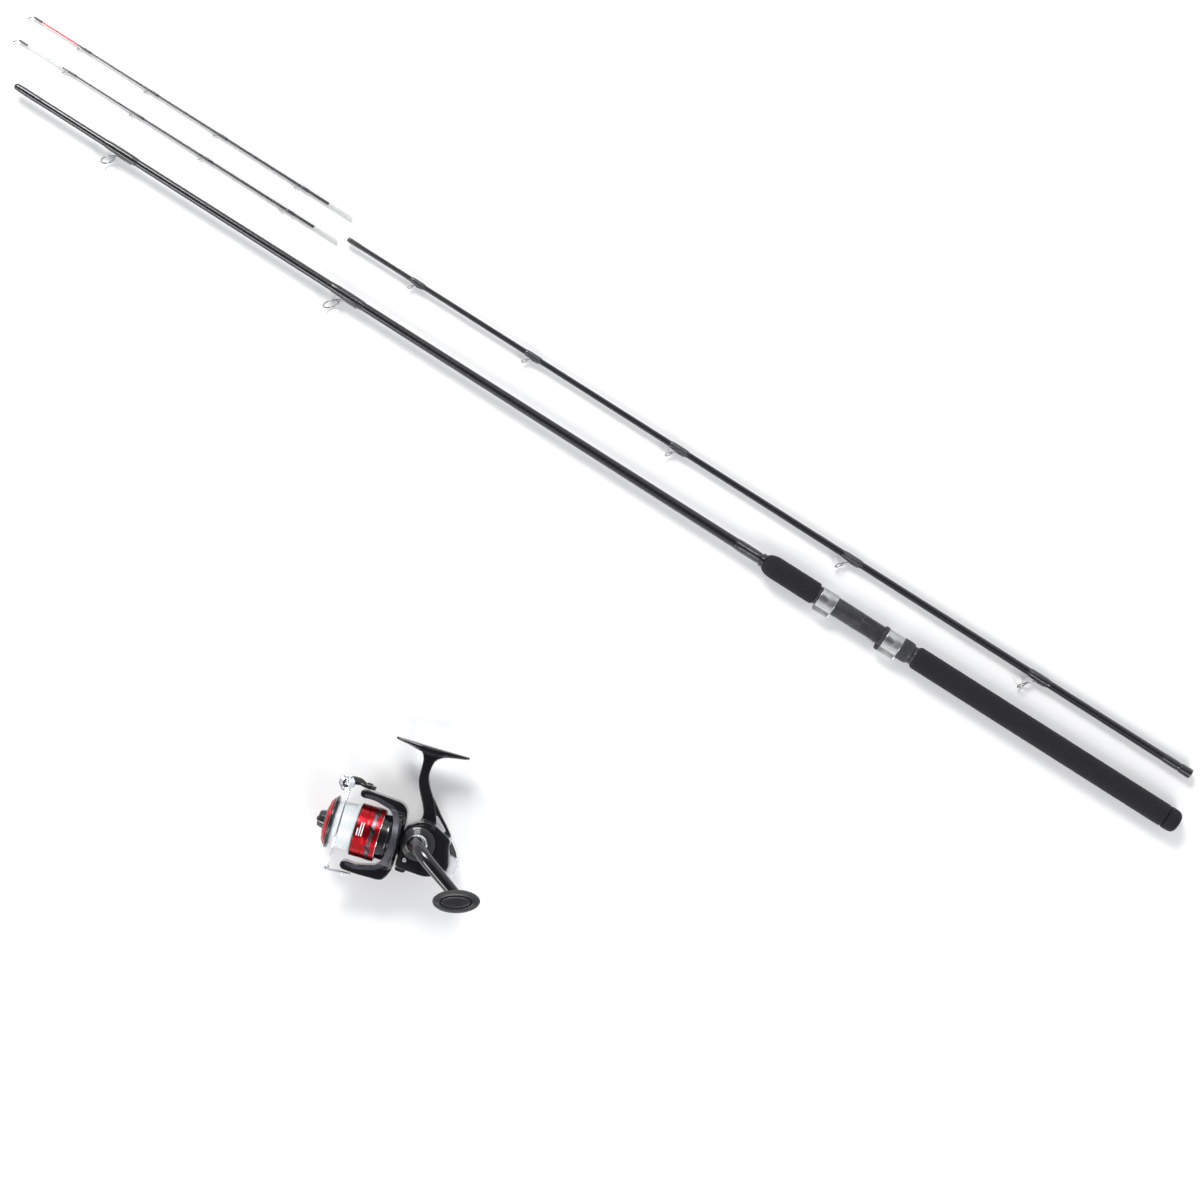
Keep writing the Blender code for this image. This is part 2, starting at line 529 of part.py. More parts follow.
def build_housing(reel):
    """The reel's frame: foot, stem and gearbox shell in one casting, with its covers."""
    body = plate("housing", BODY_OUTLINE, CASE_RIGHT, CASE_LEFT, "gloss_black", reel, bevel=1.2)
    stem = plate("housing_stem", STEM_OUTLINE, -STEM_HALF, STEM_HALF, None, reel, bevel=1.4, cutter=True)
    window = plate("stem_window", WINDOW_OUTLINE, -9.0, 9.0, None, reel, cutter=True)
    foot = plate("housing_foot", FOOT_OUTLINE, -FOOT_HALF, FOOT_HALF, None, reel, cutter=True)
    plan = plate("foot_plan", FOOT_PLAN, 78.0, 92.0, None, reel, plane="XY", cutter=True)
    combine(foot, plan, "INTERSECT")
    combine(stem, window, "DIFFERENCE")
    combine(body, stem, "UNION")
    combine(body, foot, "UNION")
    cavity = plate("housing_cavity", CAVITY_OUTLINE, -15.5, 14.5, None, reel, cutter=True)
    combine(body, cavity, "DIFFERENCE")
    nose = rod_shape("nose_bore", 5.3, 10.0, 16.0, None, reel, cutter=True)
    combine(body, nose, "DIFFERENCE")
    side = rod_shape("crank_bore", 6.3, 12.0, 19.0, None, reel, (0, 0, CRANK_Z), "Y", cutter=True)
    combine(body, side, "DIFFERENCE")
    cap = plate("side_cap", BODY_OUTLINE, CAP_RIGHT, CASE_RIGHT - GAP, "satin_black", reel, bevel=0.8)
    boss = rod_shape("side_cap_boss", 9.0, -28.0, -15.6, None, reel, (0, 0, CRANK_Z), "Y", steps=24,
                     chamfer=1.2, cutter=True)
    combine(cap, boss, "UNION")
    seat = rod_shape("side_cap_seat", 5.3, -19.6, -12.0, None, reel, (0, 0, CRANK_Z), "Y", cutter=True)
    combine(cap, seat, "DIFFERENCE")
    rod_shape("bearing_right", BEARING_RADIUS, -19.3, -16.5, "zinc", reel, (0, 0, CRANK_Z), "Y",
              bore=DRIVE_BORE)
    rod_shape("bearing_left", 6.0, 14.3, CASE_LEFT, "zinc", reel, (0, 0, CRANK_Z), "Y", bore=DRIVE_BORE)
    rod_shape("pinion_bearing", BEARING_RADIUS, 12.0, 14.3, "zinc", reel, bore=3.2)
    turned("side_cover", [(5.0, 22.4), (9.4, 22.4), (9.9, 21.7), (11.6, 21.7), (12.1, 20.4), (14.2, 20.4),
                          (15.1, 19.4), (15.1, 17.3), (5.0, 17.3)], "gloss_black", reel, (0, 0, CRANK_Z),
           "Y", closed=True, steps=24)
    plate("rear_cover", REAR_COVER, -12.5, 12.5, "clear_plastic", reel, bevel=0.9)
    plate("rear_trim", REAR_TRIM, -11.0, 11.0, "chrome", reel, bevel=0.6)
    plate("anti_reverse_lever", LEVER, -3.6, 3.6, "satin_black", reel, bevel=0.6)
    for number, (x, z) in enumerate(((7.4, -12.5), (-9.0, 21.0)), 1):
        rod_shape(f"cover_screw_{number}", 1.9, 17.3, 18.6, "silver", reel, (x, 0, z), "Y", chamfer=0.4,
                  steps=12)


def build_drive(reel):
    """Gear train: crank shaft and face gear, pinion, main shaft and oscillation slider."""
    gear = plate("drive_gear", gear_outline(10.2, 11.2, GEAR_TEETH), 4.0, 7.0, "zinc", reel,
                 location=(0, 0, CRANK_Z))
    hub = rod_shape("drive_gear_hub", 4.6, 6.0, 13.8, None, reel, (0, 0, CRANK_Z), "Y", cutter=True)
    combine(gear, hub, "UNION")
    bore = rod_shape("drive_gear_bore", DRIVE_BORE, 2.0, 16.0, None, reel, (0, 0, CRANK_Z), "Y",
                     cutter=True)
    combine(gear, bore, "DIFFERENCE")
    rod_shape("drive_shaft", DRIVE_RADIUS, -19.0, 26.2, "silver", reel, (0, 0, CRANK_Z), "Y",
              chamfer=0.3, steps=12)
    pinion = plate("pinion_gear", gear_outline(2.6, 3.4, PINION_TEETH), 6.6, 11.5, "brass", reel,
                   plane="YZ")
    tail = rod_shape("pinion_tail", 2.8, 10.0, 25.2, None, reel, steps=14, cutter=True)
    combine(pinion, tail, "UNION")
    pinion_bore = rod_shape("pinion_bore", SHAFT_BORE, 5.0, 27.0, None, reel, steps=14, cutter=True)
    combine(pinion, pinion_bore, "DIFFERENCE")
    rod_shape("main_shaft", SHAFT_RADIUS, SHAFT_REAR, SHAFT_FRONT, "silver", reel, steps=12, chamfer=0.3)
    slider = plate("oscillation_slider", [(-18.0, -6.0), (-12.0, -6.0), (-12.0, 1.95), (-18.0, 1.95)],
                   -3.4, 3.4, "zinc", reel)
    slider_bore = rod_shape("slider_bore", 1.72, -22.0, -9.0, None, reel, steps=12, cutter=True)
    combine(slider, slider_bore, "DIFFERENCE")


def build_rotor(reel):
    """Rotor: a round bowl with a drum, and two arms that carry the bail."""
    turned_bowl = turned("rotor", [(3.2, ROTOR_FRONT), (DRUM_RADIUS - 2.0, ROTOR_FRONT),
                                   (DRUM_RADIUS - 2.0, DRUM_FRONT), (DRUM_RADIUS, DRUM_FRONT),
                                   (DRUM_RADIUS, 27.0), (26.6, 24.6), (ROTOR_RADIUS, 22.8), (25.4, 18.2),
                                   (20.0, ROTOR_REAR), (3.2, ROTOR_REAR)],
                         "gloss_black", reel, closed=True, steps=28)
    arms = plate("rotor_arms", ROTOR_SIDE, -ARM_HALF, ARM_HALF, None, reel, bevel=0.8, cutter=True)
    combine(turned_bowl, arms, "UNION")
    bore = rod_shape("rotor_bore", 3.1, 10.0, 30.0, None, reel, steps=16, cutter=True)
    combine(turned_bowl, bore, "DIFFERENCE")
    rod_shape("rotor_nut", 5.2, 25.8, 28.6, "brass", reel, steps=6, bore=SHAFT_BORE)


def build_bail(reel):
    """Bail: two ends on one hinge across the rotor's arms, a wire between them and a line roller."""
    arm = rod_shape("bail_arm", 6.2, 37.1, 40.6, "gloss_black", reel, (BAIL_X, 0, 0), "Z", steps=20,
                    chamfer=0.5)
    route = [(60.7, 1.8, 39.2), (65.5, 3.6, 40.4), (70.5, 6.5, 40.2), (74.2, 9.8, 38.6)]
    link = tube("bail_arm_link", route, (1.5, 3.2), None, reel, sides=1, smooth=3, cutter=True)
    combine(arm, link, "UNION")
    end = rod_shape("bail_arm_end", 4.6, 8.4, 12.2, None, reel, ROLLER_PLACE, "Y", steps=16, chamfer=0.5,
                    cutter=True)
    combine(arm, end, "UNION")
    turned("line_roller", [(1.2, 17.4), (4.0, 17.4), (2.9, 15.0), (4.0, 12.6), (1.2, 12.6)], "silver",
           reel, ROLLER_PLACE, "Y", closed=True, steps=16)
    rod_shape("roller_pin", 0.9, 12.4, 17.6, "zinc", reel, ROLLER_PLACE, "Y", steps=10)
    turned("roller_cone", [(0, 21.4), (2.6, 21.4), (7.0, 20.3), (7.6, 19.4), (7.0, 18.4), (3.4, 17.8),
                           (0, 17.8)], "chrome", reel, ROLLER_PLACE, "Y", steps=28)
    tube("bail_wire", [(72.2, 24.4, 42.6), (70.8, 31.0, 37.2), (69.8, 38.4, 24.0), (69.6, 41.8, 4.0),
                       (69.6, 39.2, -16.0), (70.2, 30.4, -29.0), (71.2, 20.0, -35.4),
                       (71.7, 12.4, -37.4)], 1.0, "chrome", reel, sides=1, smooth=3)
    link_outline = arc((BAIL_X, 0), 6.0, 120, 330, 10) + arc(HOLDER_PLACE, 3.0, -40, 130, 6)
    plate("bail_holder", link_outline, -41.2, -38.9, "chrome", reel, plane="XY", bevel=0.5)
    for number, low in enumerate((40.9, -42.7), 1):
        rod_shape(f"bail_pivot_screw_{number}", 3.0, low, low + 1.2, "silver", reel, (BAIL_X, 0, 0), "Z",
                  steps=14, chamfer=0.4)


def build_spool(reel):
    """Spool: hub with its lip, wound line, skirt, front rings and the drag stack with its knob."""
    turned("spool_core", [(SHAFT_BORE, 76.0), (11.6, 76.0), (11.6, SPOOL_FRONT), (22.4, SPOOL_FRONT),
                          (LIP_RADIUS, 79.8), (LIP_RADIUS, 78.4), (22.6, 77.0), (16.5, 77.0),
                          (16.5, 44.6), (SHAFT_BORE, 44.6)], "gloss_black", reel, closed=True, steps=28)
    turned("wound_line", [(LINE_RADIUS, 76.7), (19.6, 76.7), (22.0, 57.5), (LINE_RADIUS, 57.5)], "line",
           reel, closed=True, steps=28)
    turned("spool_skirt", [(LINE_RADIUS, SKIRT_FRONT), (23.2, SKIRT_FRONT), (SKIRT_RADIUS, 56.7),
                           (SKIRT_RADIUS, 35.2), (23.3, SKIRT_REAR), (SKIRT_BORE, SKIRT_REAR),
                           (SKIRT_BORE, 55.4), (LINE_RADIUS, 55.4)], "red_metal", reel, closed=True,
           steps=28)
    turned("spool_front_ring", [(RING_BORE, 84.0), (18.3, 84.0), (21.5, 81.4), (21.5, RING_REAR),
                                (RING_BORE, RING_REAR)], "red_metal", reel, closed=True, steps=28)
    turned("spool_front_disc", [(DISC_BORE, 85.2), (13.0, 85.2), (14.6, 84.2), (14.6, RING_REAR),
                                (DISC_BORE, RING_REAR)], "gloss_black", reel, closed=True, steps=24)
    rod_shape("drag_washer", 11.3, 76.3, 77.9, "felt", reel, bore=SHAFT_BORE, steps=20)
    rod_shape("drag_plate", 11.0, 78.2, 80.0, "zinc", reel, bore=SHAFT_BORE, steps=20)
    turned("drag_knob", [(0, 92.5), (4.0, 92.3), (6.6, 91.4), (7.5, 89.8), (KNOB_RADIUS, 83.0),
                         (KNOB_RADIUS, RING_REAR), (SHAFT_BORE, RING_REAR), (SHAFT_BORE, 89.0),
                         (0, 89.0)], "gloss_black", reel, steps=28)


def build_crank(reel):
    """Crank: collar on the drive shaft, a bent arm, and a T-shaped knob turning on its spindle."""
    down = Vector(CRANK_DIRECTION)
    rise = Vector((0, 1, 0))
    centre = Vector((0, 0, CRANK_Z))
    rod_shape("handle_collar", 9.0, 22.8, 26.4, "chrome", reel, tuple(centre), "Y", steps=12,
              bore=DRIVE_BORE, chamfer=0.7)
    bends = ((0, 26.8), (0.2, 34.5), (5.0, 42.6), (15.5, 48.6), (36, 51.6), (CRANK_REACH, 54))
    route = [centre + down * reach + rise * height for reach, height in bends]
    arm = tube("handle_arm", route, (7.4, 5.0), "gloss_black", reel, sides=3, smooth=3)
    knob_centre = centre + down * CRANK_REACH
    hub = rod_shape("handle_arm_end", 6.6, 48.0, 60.0, None, reel, tuple(knob_centre), "Y", steps=18,
                    chamfer=1.0, cutter=True)
    combine(arm, hub, "UNION")
    turned("knob_spindle", [(0, 80.0), (SPINDLE_RADIUS, 80.0), (SPINDLE_RADIUS, 64.0), (4.8, 63.6),
                            (5.2, 62.0), (5.2, 60.3), (0, 60.3)], "satin_black", reel,
           tuple(knob_centre), "Y", steps=14)
    knob_frame = empty("knob_frame", reel, tuple(knob_centre), (0, -KNOB_TURN, 0))
    ball = ellipsoid("handle_knob", KNOB_HALVES, "satin_black", knob_frame, (0, KNOB_HEIGHT, 0))
    stem = turned("handle_knob_stem", [(0, 78.0), (8.0, 78.0), (6.6, 70.0), (5.4, 64.2), (0, 64.2)], None,
                  knob_frame, (0, 0, 0), "Y", steps=18, cutter=True)
    combine(ball, stem, "UNION")
    face = plate("knob_face", [(-30, -20), (30, -20), (30, 20), (-30, 20)], KNOB_FACE, 95.0, None,
                 knob_frame, cutter=True)
    combine(ball, face, "DIFFERENCE")
    bore = rod_shape("knob_bore", 2.5, 60.0, 80.4, None, knob_frame, (0, 0, 0), "Y", steps=14,
                     cutter=True)
    combine(ball, bore, "DIFFERENCE")
    mouth = rod_shape("knob_mouth", 5.6, 60.0, 64.4, None, knob_frame, (0, 0, 0), "Y", steps=14,
                      cutter=True)
    combine(ball, mouth, "DIFFERENCE")
    plate("knob_cap", oval(12.6, 4.9, 28), KNOB_FACE + GAP, 88.2, "satin_black", knob_frame, bevel=0.4)


def ellipsoid(name, half_sizes, look, parent, location):
    """An ellipsoid from its three half sizes."""
    def shape_it(shape):
        bmesh.ops.create_uvsphere(shape, u_segments=24, v_segments=12, radius=1.0)
        bmesh.ops.scale(shape, vec=half_sizes, verts=shape.verts)
    return piece(name, mesh_of(shape_it, name), look, parent, location)


def main():
    """Clear the scene and build everything, then put the origin under the middle of it all."""
    for old in list(bpy.data.objects):
        bpy.data.objects.remove(old)
    layout = empty("layout")
    build_butt_section(layout)
    build_tip_section(layout)
    build_quiver("white_quiver_tip", layout, WHITE_QUIVER_Y, "white_tip")
    build_quiver("red_quiver_tip", layout, RED_QUIVER_Y, "red_tip")
    reel = empty("reel_frame", layout, (REEL_X, REEL_Y, REEL_REST))
    forward = Vector((math.cos(REEL_YAW), math.sin(REEL_YAW), 0))
    upward = Vector((0, 0, 1))
    axes = Matrix((forward, upward, forward.cross(upward))).transposed()
    reel.rotation_euler = axes.to_euler()
    build_housing(reel)
    build_drive(reel)
    build_rotor(reel)
    build_bail(reel)
    build_spool(reel)
    build_crank(reel)
    centre_over_origin(layout)


def centre_over_origin(layout):
    """Move the layout so that its box stands on Z = 0 with its middle over the origin."""
    bpy.context.view_layer.update()
    graph = bpy.context.evaluated_depsgraph_get()
    corners = []
    for item in COLLECTION.objects:
        if item.type == "MESH" and not item.hide_render:
            shown = item.evaluated_get(graph)
            corners += [shown.matrix_world @ vertex.co for vertex in shown.data.vertices]
    low = [min(corner[axis] for corner in corners) for axis in range(3)]
    high = [max(corner[axis] for corner in corners) for axis in range(3)]
    layout.location = (-(low[0] + high[0]) / 2, -(low[1] + high[1]) / 2, -low[2])


COLLECTION = bpy.data.collections.new("fishing_rod_and_reel")
CUTTERS = bpy.data.collections.new("cutters")
bpy.context.scene.collection.children.link(COLLECTION)
bpy.context.scene.collection.children.link(CUTTERS)
main()
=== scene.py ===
"""Looks for a feeder rod laid out in its parts with a spinning reel beside it.

Pieces are built in millimetres in a local frame (rod pieces along X, reel pieces in the reel's frame)
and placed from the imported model's boxes, joints and mounts.
"""
import json
import math

import bmesh
import bpy
from mathutils import Matrix, Vector


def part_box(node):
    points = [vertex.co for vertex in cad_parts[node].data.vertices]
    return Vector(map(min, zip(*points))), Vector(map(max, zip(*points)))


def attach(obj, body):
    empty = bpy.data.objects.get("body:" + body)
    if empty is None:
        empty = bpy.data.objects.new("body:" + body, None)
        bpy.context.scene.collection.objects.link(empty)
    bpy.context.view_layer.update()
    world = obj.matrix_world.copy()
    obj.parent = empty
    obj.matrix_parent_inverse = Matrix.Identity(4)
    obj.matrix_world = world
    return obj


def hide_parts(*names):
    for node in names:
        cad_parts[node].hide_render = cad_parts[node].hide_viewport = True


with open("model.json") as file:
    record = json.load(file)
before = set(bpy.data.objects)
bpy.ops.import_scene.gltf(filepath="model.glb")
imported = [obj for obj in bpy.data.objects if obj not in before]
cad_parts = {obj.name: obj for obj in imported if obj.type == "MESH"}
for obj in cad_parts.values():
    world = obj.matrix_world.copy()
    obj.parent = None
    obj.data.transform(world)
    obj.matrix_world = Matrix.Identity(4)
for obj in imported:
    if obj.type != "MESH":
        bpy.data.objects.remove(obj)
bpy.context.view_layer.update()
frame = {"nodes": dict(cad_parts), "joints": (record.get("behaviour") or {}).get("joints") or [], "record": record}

MM = 0.001
TURN = 2 * math.pi
JOINTS = {joint["name"]: joint for joint in frame["joints"]}
MOUNTS = {mount["name"]: mount for mount in frame["record"]["mounts"]}


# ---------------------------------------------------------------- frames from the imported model

def frame_matrix(origin, forward, up):
    """A frame whose X is forward and whose Y is up, at origin."""
    side = forward.cross(up)
    turn = Matrix((forward, up, side)).transposed().to_4x4()
    return Matrix.Translation(origin) @ turn


def box_centre(node):
    """The middle of a CAD node's box."""
    low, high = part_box(node)
    return (Vector(low) + Vector(high)) / 2


def rolled(y, z, roll):
    """A rod frame: X along the rod, turned about it by roll, on the axis at y and z."""
    return Matrix.Translation((0, y, z)) @ Matrix.Rotation(roll, 4, "X")


SPOOL_AXIS = Vector(JOINTS["rotor_spin"]["axis"]).normalized()
UP = Vector((0, 0, 1))
ROTOR_JOINT_X = 20.0         # the rotor joint's place along the spool axis
ROTOR_PLACE = Vector(JOINTS["rotor_spin"]["pos_m"])
REEL = frame_matrix(ROTOR_PLACE - SPOOL_AXIS * ROTOR_JOINT_X * MM, SPOOL_AXIS, UP)

POCKET_AXIS = MOUNTS["seat_front_pocket"]["axis"]
BUTT_ROLL = math.atan2(POCKET_AXIS[2], POCKET_AXIS[1])
NUT = JOINTS["nut_turn"]["pos_m"]
BUTT = rolled(NUT[1], NUT[2], BUTT_ROLL)
SLEEVE = box_centre("ferrule_sleeve")
TIP_ROLL = math.radians(8)
TIP = rolled(SLEEVE.y, SLEEVE.z, TIP_ROLL)
QUIVER_BASE_RADIUS = 1.45


def span(node):
    """A CAD node's lowest and highest X, in millimetres."""
    low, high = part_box(node)
    return low[0] / MM, high[0] / MM


# ---------------------------------------------------------------- materials

WAVE_RATE = 20               # radians a wave texture's bands run through over one unit at scale 1
EVEN = (1, 1, 1)
LONG_GRAIN = (8, 0.4, 0.4)
FINE_GRAIN = (0.2, 1, 1)


def shader_of(look):
    """The material's Principled node."""
    return look.node_tree.nodes["Principled BSDF"]


def set_inputs(node, values):
    """Set a node's input values by name."""
    for socket, value in values.items():
        node.inputs[socket.replace("_", " ")].default_value = value
    return node


def new_look(name, colour, roughness, metallic=0.0, **sockets):
    """A Principled material with constants set on its own sockets."""
    look = bpy.data.materials.new(name)
    look.use_nodes = True
    base = {"Base Color": (*colour, 1.0), "Roughness": roughness, "Metallic": metallic}
    set_inputs(shader_of(look), base | sockets)
    return look


def add(owner, kind, **values):
    """A node in a material or world, with input values set by name."""
    return set_inputs(owner.node_tree.nodes.new(kind), values)


def wire_up(owner, output, target):
    """Link an output socket to an input socket."""
    owner.node_tree.links.new(output, target)


def add_ramp(owner, low, low_colour, high, high_colour):
    """A colour ramp between two places."""
    ramp = add(owner, "ShaderNodeValToRGB")
    for element, place, colour in zip(ramp.color_ramp.elements, (low, high), (low_colour, high_colour)):
        element.position = place
        element.color = (*colour, 1)
    return ramp


def coordinates(look, stretch=EVEN, turn=(0, 0, 0)):
    """Object coordinates, stretched and turned."""
    source = add(look, "ShaderNodeTexCoord")
    mapping = add(look, "ShaderNodeMapping", Scale=stretch, Rotation=turn)
    wire_up(look, source.outputs["Object"], mapping.inputs["Vector"])
    return mapping.outputs["Vector"]


def noise(look, scale, detail=3.0, stretch=EVEN):
    """A noise texture's factor."""
    node = add(look, "ShaderNodeTexNoise", Scale=scale, Detail=detail)
    wire_up(look, coordinates(look, stretch), node.inputs["Vector"])
    return node.outputs["Fac"]


def cells(look, scale):
    """A Voronoi texture's distance."""
    node = add(look, "ShaderNodeTexVoronoi", Scale=scale)
    wire_up(look, coordinates(look), node.inputs["Vector"])
    return node.outputs["Distance"]


def bands(look, pitch_mm, turn=(0, 0, 0), distortion=0.0):
    """Bands across X with a pitch in millimetres."""
    scale = TURN / WAVE_RATE / (pitch_mm * MM)
    node = add(look, "ShaderNodeTexWave", Scale=scale, Distortion=distortion)
    node.wave_type = "BANDS"
    node.bands_direction = "X"
    wire_up(look, coordinates(look, EVEN, turn), node.inputs["Vector"])
    return node.outputs["Fac"]


def vary_colour(look, factor, dark, light, low=0.3, high=0.7):
    """Base colour from a texture, between two colours."""
    ramp = add_ramp(look, low, dark, high, light)
    wire_up(look, factor, ramp.inputs["Fac"])
    wire_up(look, ramp.outputs["Color"], shader_of(look).inputs["Base Color"])


def vary_roughness(look, factor, low, high):
    """Roughness from a texture, between two values."""
    spread = add(look, "ShaderNodeMapRange", To_Min=low, To_Max=high)
    wire_up(look, factor, spread.inputs["Value"])
    wire_up(look, spread.outputs["Result"], shader_of(look).inputs["Roughness"])


def bump(look, factors, depth_mm):
    """Bump from one or more texture factors, each a fraction of the depth."""
    total = factors[0]
    for extra in factors[1:]:
        join = add(look, "ShaderNodeMath")
        join.operation = "ADD"
        wire_up(look, total, join.inputs[0])
        wire_up(look, extra, join.inputs[1])
        total = join.outputs["Value"]
    node = add(look, "ShaderNodeBump", Strength=1.0, Distance=depth_mm * MM)
    wire_up(look, total, node.inputs["Height"])
    wire_up(look, node.outputs["Normal"], shader_of(look).inputs["Normal"])


def textured(name, colour, roughness, shades, spread, relief, metallic=0.0, **sockets):
    """A material whose colour, roughness and relief follow textures.

    shades: a texture, a dark colour, a light colour and, if need be, the factors at which they start.
    spread: a texture and two roughnesses. relief: a depth in millimetres, then its textures.
    A texture is written as its function followed by that function's settings.
    """
    look = new_look(name, colour, roughness, metallic, **sockets)

    def made(texture):
        """The factor of a texture made in this material."""
        kind, *settings = texture
        return kind(look, *settings)
    vary_colour(look, made(shades[0]), *shades[1:])
    if spread:
        vary_roughness(look, made(spread[0]), *spread[1:])
    depth_mm, *textures = relief
    bump(look, [made(texture) for texture in textures], depth_mm)
    return look


def steel(name, stretch, shade):
    """Steel with its grain stretched one way."""
    ends = (shade * 0.82,) * 3, (min(shade * 1.2, 0.9),) * 3
    return textured(name, (shade,) * 3, 0.3, [(noise, 900, 4, stretch), *ends],
                    [(noise, 700, 4, stretch), 0.22, 0.4], [0.01, (noise, 1400, 4, stretch)], 1.0,
                    Anisotropic=0.5)


def plain_metal(name, colour, roughness):
    """Turned or cast metal without a grain."""
    ends = [tuple(channel * factor for channel in colour) for factor in (0.8, 1.1)]
    return textured(name, colour, roughness, [(noise, 600, 4), *ends],
                    [(noise, 900), roughness * 0.8, roughness * 1.3], [0.01, (noise, 1500)], 1.0)


def paint(name, dark, light):
    """Glossy paint, a little uneven along the rod."""
    return textured(name, light, 0.3, [(noise, 400, 3, FINE_GRAIN), dark, light], [(noise, 500), 0.24, 0.4],
                    [0.01, (noise, 900)], Coat_Weight=0.5, Coat_Roughness=0.1)


LOOKS = {
    "gloss_black": textured(
        "gloss_black_moulding", (0.006, 0.006, 0.008), 0.16,
        [(noise, 60), (0.004, 0.004, 0.005), (0.010, 0.010, 0.012)], [(noise, 180), 0.12, 0.24],
        [0.015, (noise, 900)], Coat_Weight=0.5, Coat_Roughness=0.06, IOR=1.5),
    "satin_black": textured(
        "satin_black_moulding", (0.012, 0.012, 0.014), 0.4,
        [(noise, 220), (0.009, 0.009, 0.010), (0.017, 0.017, 0.019)], [(noise, 500), 0.34, 0.5],
        [0.03, (noise, 2600), (noise, 1200)], IOR=1.48),
    "seat": textured(
        "seat_plastic", (0.03, 0.03, 0.034), 0.38,
        [(noise, 150), (0.020, 0.020, 0.024), (0.036, 0.036, 0.042)], [(noise, 420), 0.3, 0.46],
        [0.02, (noise, 1800)], IOR=1.48),
    "foam": textured(
        "grip_foam", (0.012, 0.012, 0.015), 0.9,
        [(noise, 1600, 6), (0.004, 0.004, 0.006), (0.022, 0.021, 0.026), 0.35, 0.75],
        [(noise, 300), 0.82, 0.97], [0.16, (cells, 2400), (noise, 900, 5)], Sheen_Weight=0.08,
        Sheen_Roughness=0.5, Specular_IOR_Level=0.25),
    "carbon": textured(
        "blank_lacquer", (0.010, 0.010, 0.013), 0.22,
        [(bands, 4.5, (0, 0, math.radians(25)), 1.5), (0.006, 0.006, 0.008), (0.011, 0.011, 0.015), 0.1, 0.9],
        [(noise, 260, 3, FINE_GRAIN), 0.2, 0.32], [0.02, (noise, 260, 3, (0.3, 1, 1))], Coat_Weight=0.6,
        Coat_Roughness=0.08),
    "whipping": textured(
        "whipping_thread", (0.010, 0.010, 0.012), 0.16,
        [(bands, 0.42), (0.004, 0.004, 0.005), (0.018, 0.018, 0.021), 0.3, 0.8],
        [(noise, 500), 0.12, 0.22], [0.05, (bands, 0.42)], Coat_Weight=0.9, Coat_Roughness=0.04),
    "hood_steel": steel("brushed_hood", (0.25, 3, 3), 0.60),
    "screw_steel": steel("screw_steel", EVEN, 0.55),
    "guide_wire": steel("guide_wire", EVEN, 0.34),
    "chrome": textured(
        "polished_chrome", (0.80, 0.82, 0.84), 0.07,
        [(noise, 120), (0.72, 0.74, 0.77), (0.86, 0.88, 0.90)], [(noise, 320), 0.05, 0.13],
        [0.006, (noise, 500)], 1.0),
    "red": textured(
        "red_anodised", (0.50, 0.006, 0.012), 0.24,
        [(noise, 700, 4, LONG_GRAIN), (0.36, 0.003, 0.008), (0.66, 0.012, 0.020), 0.25, 0.8],
        [(noise, 900, 3, LONG_GRAIN), 0.2, 0.34], [0.01, (bands, 0.22)], 0.92, Anisotropic=0.6,
        Coat_Weight=0.25, Coat_Roughness=0.1),
    "line": textured(
        "wound_monofilament", (0.82, 0.85, 0.87), 0.26,
        [(noise, 260, 2, (6.0, 0.12, 0.12)), (0.72, 0.76, 0.79), (0.84, 0.87, 0.89), 0.25, 0.75],
        [(noise, 300, 2, (4.0, 0.15, 0.15)), 0.24, 0.32], [0.025, (bands, 0.36, (0, 0, 0.05), 0.1)],
        IOR=1.5, Transmission_Weight=0.1, Subsurface_Weight=0.3, Subsurface_Scale=0.003, Coat_Weight=0.3,
        Coat_Roughness=0.15),
    "clear": textured(
        "translucent_cover", (0.84, 0.85, 0.90), 0.2,
        [(noise, 90), (0.78, 0.79, 0.84), (0.93, 0.94, 0.98)], [(noise, 240), 0.14, 0.3],
        [0.02, (noise, 800)], IOR=1.49, Transmission_Weight=0.6, Coat_Weight=0.4, Coat_Roughness=0.08),
    "sparkle": textured(
        "sparkle_grey", (0.10, 0.10, 0.12), 0.34,
        [(cells, 2600), (0.22, 0.22, 0.27), (0.045, 0.045, 0.058), 0.05, 0.45],
        [(noise, 1800), 0.25, 0.5], [0.03, (cells, 2600)], 0.5, Coat_Weight=0.6, Coat_Roughness=0.1),
    "shaft": plain_metal("ground_steel", (0.58, 0.58, 0.58), 0.25),
    "gear": plain_metal("die_cast", (0.52, 0.52, 0.51), 0.4),
    "brass": plain_metal("machined_brass", (0.72, 0.53, 0.25), 0.28),
    "felt": textured(
        "washer_felt", (0.5, 0.47, 0.4), 0.95, [(noise, 1500, 6), (0.38, 0.35, 0.29), (0.58, 0.55, 0.47)],
        None, [0.1, (noise, 2500, 6)], Sheen_Weight=0.4),
    "red_paint": paint("red_paint", (0.55, 0.02, 0.03), (0.75, 0.05, 0.06)),
    "white_paint": paint("white_paint", (0.50, 0.51, 0.50), (0.64, 0.65, 0.64)),
    "bare_glass": paint("bare_fibreglass", (0.42, 0.44, 0.41), (0.56, 0.58, 0.55)),
    "grey_band": plain_metal("grey_band", (0.20, 0.20, 0.22), 0.3),
    "mark": paint("printed_mark", (0.75, 0.75, 0.75), (0.86, 0.86, 0.86)),
}


# ---------------------------------------------------------------- shapes, in millimetres

WELD_DISTANCE = 1e-6         # metres
SHARP_EDGE = 35              # degrees
ALONG_Y = Matrix(((0, 0, 1), (1, 0, 0), (0, 1, 0)))     # turns X to Y, Y to Z and Z to X
ALONG_Z = Matrix(((0, 1, 0), (0, 0, 1), (1, 0, 0)))     # turns X to Z, Y to X and Z to Y


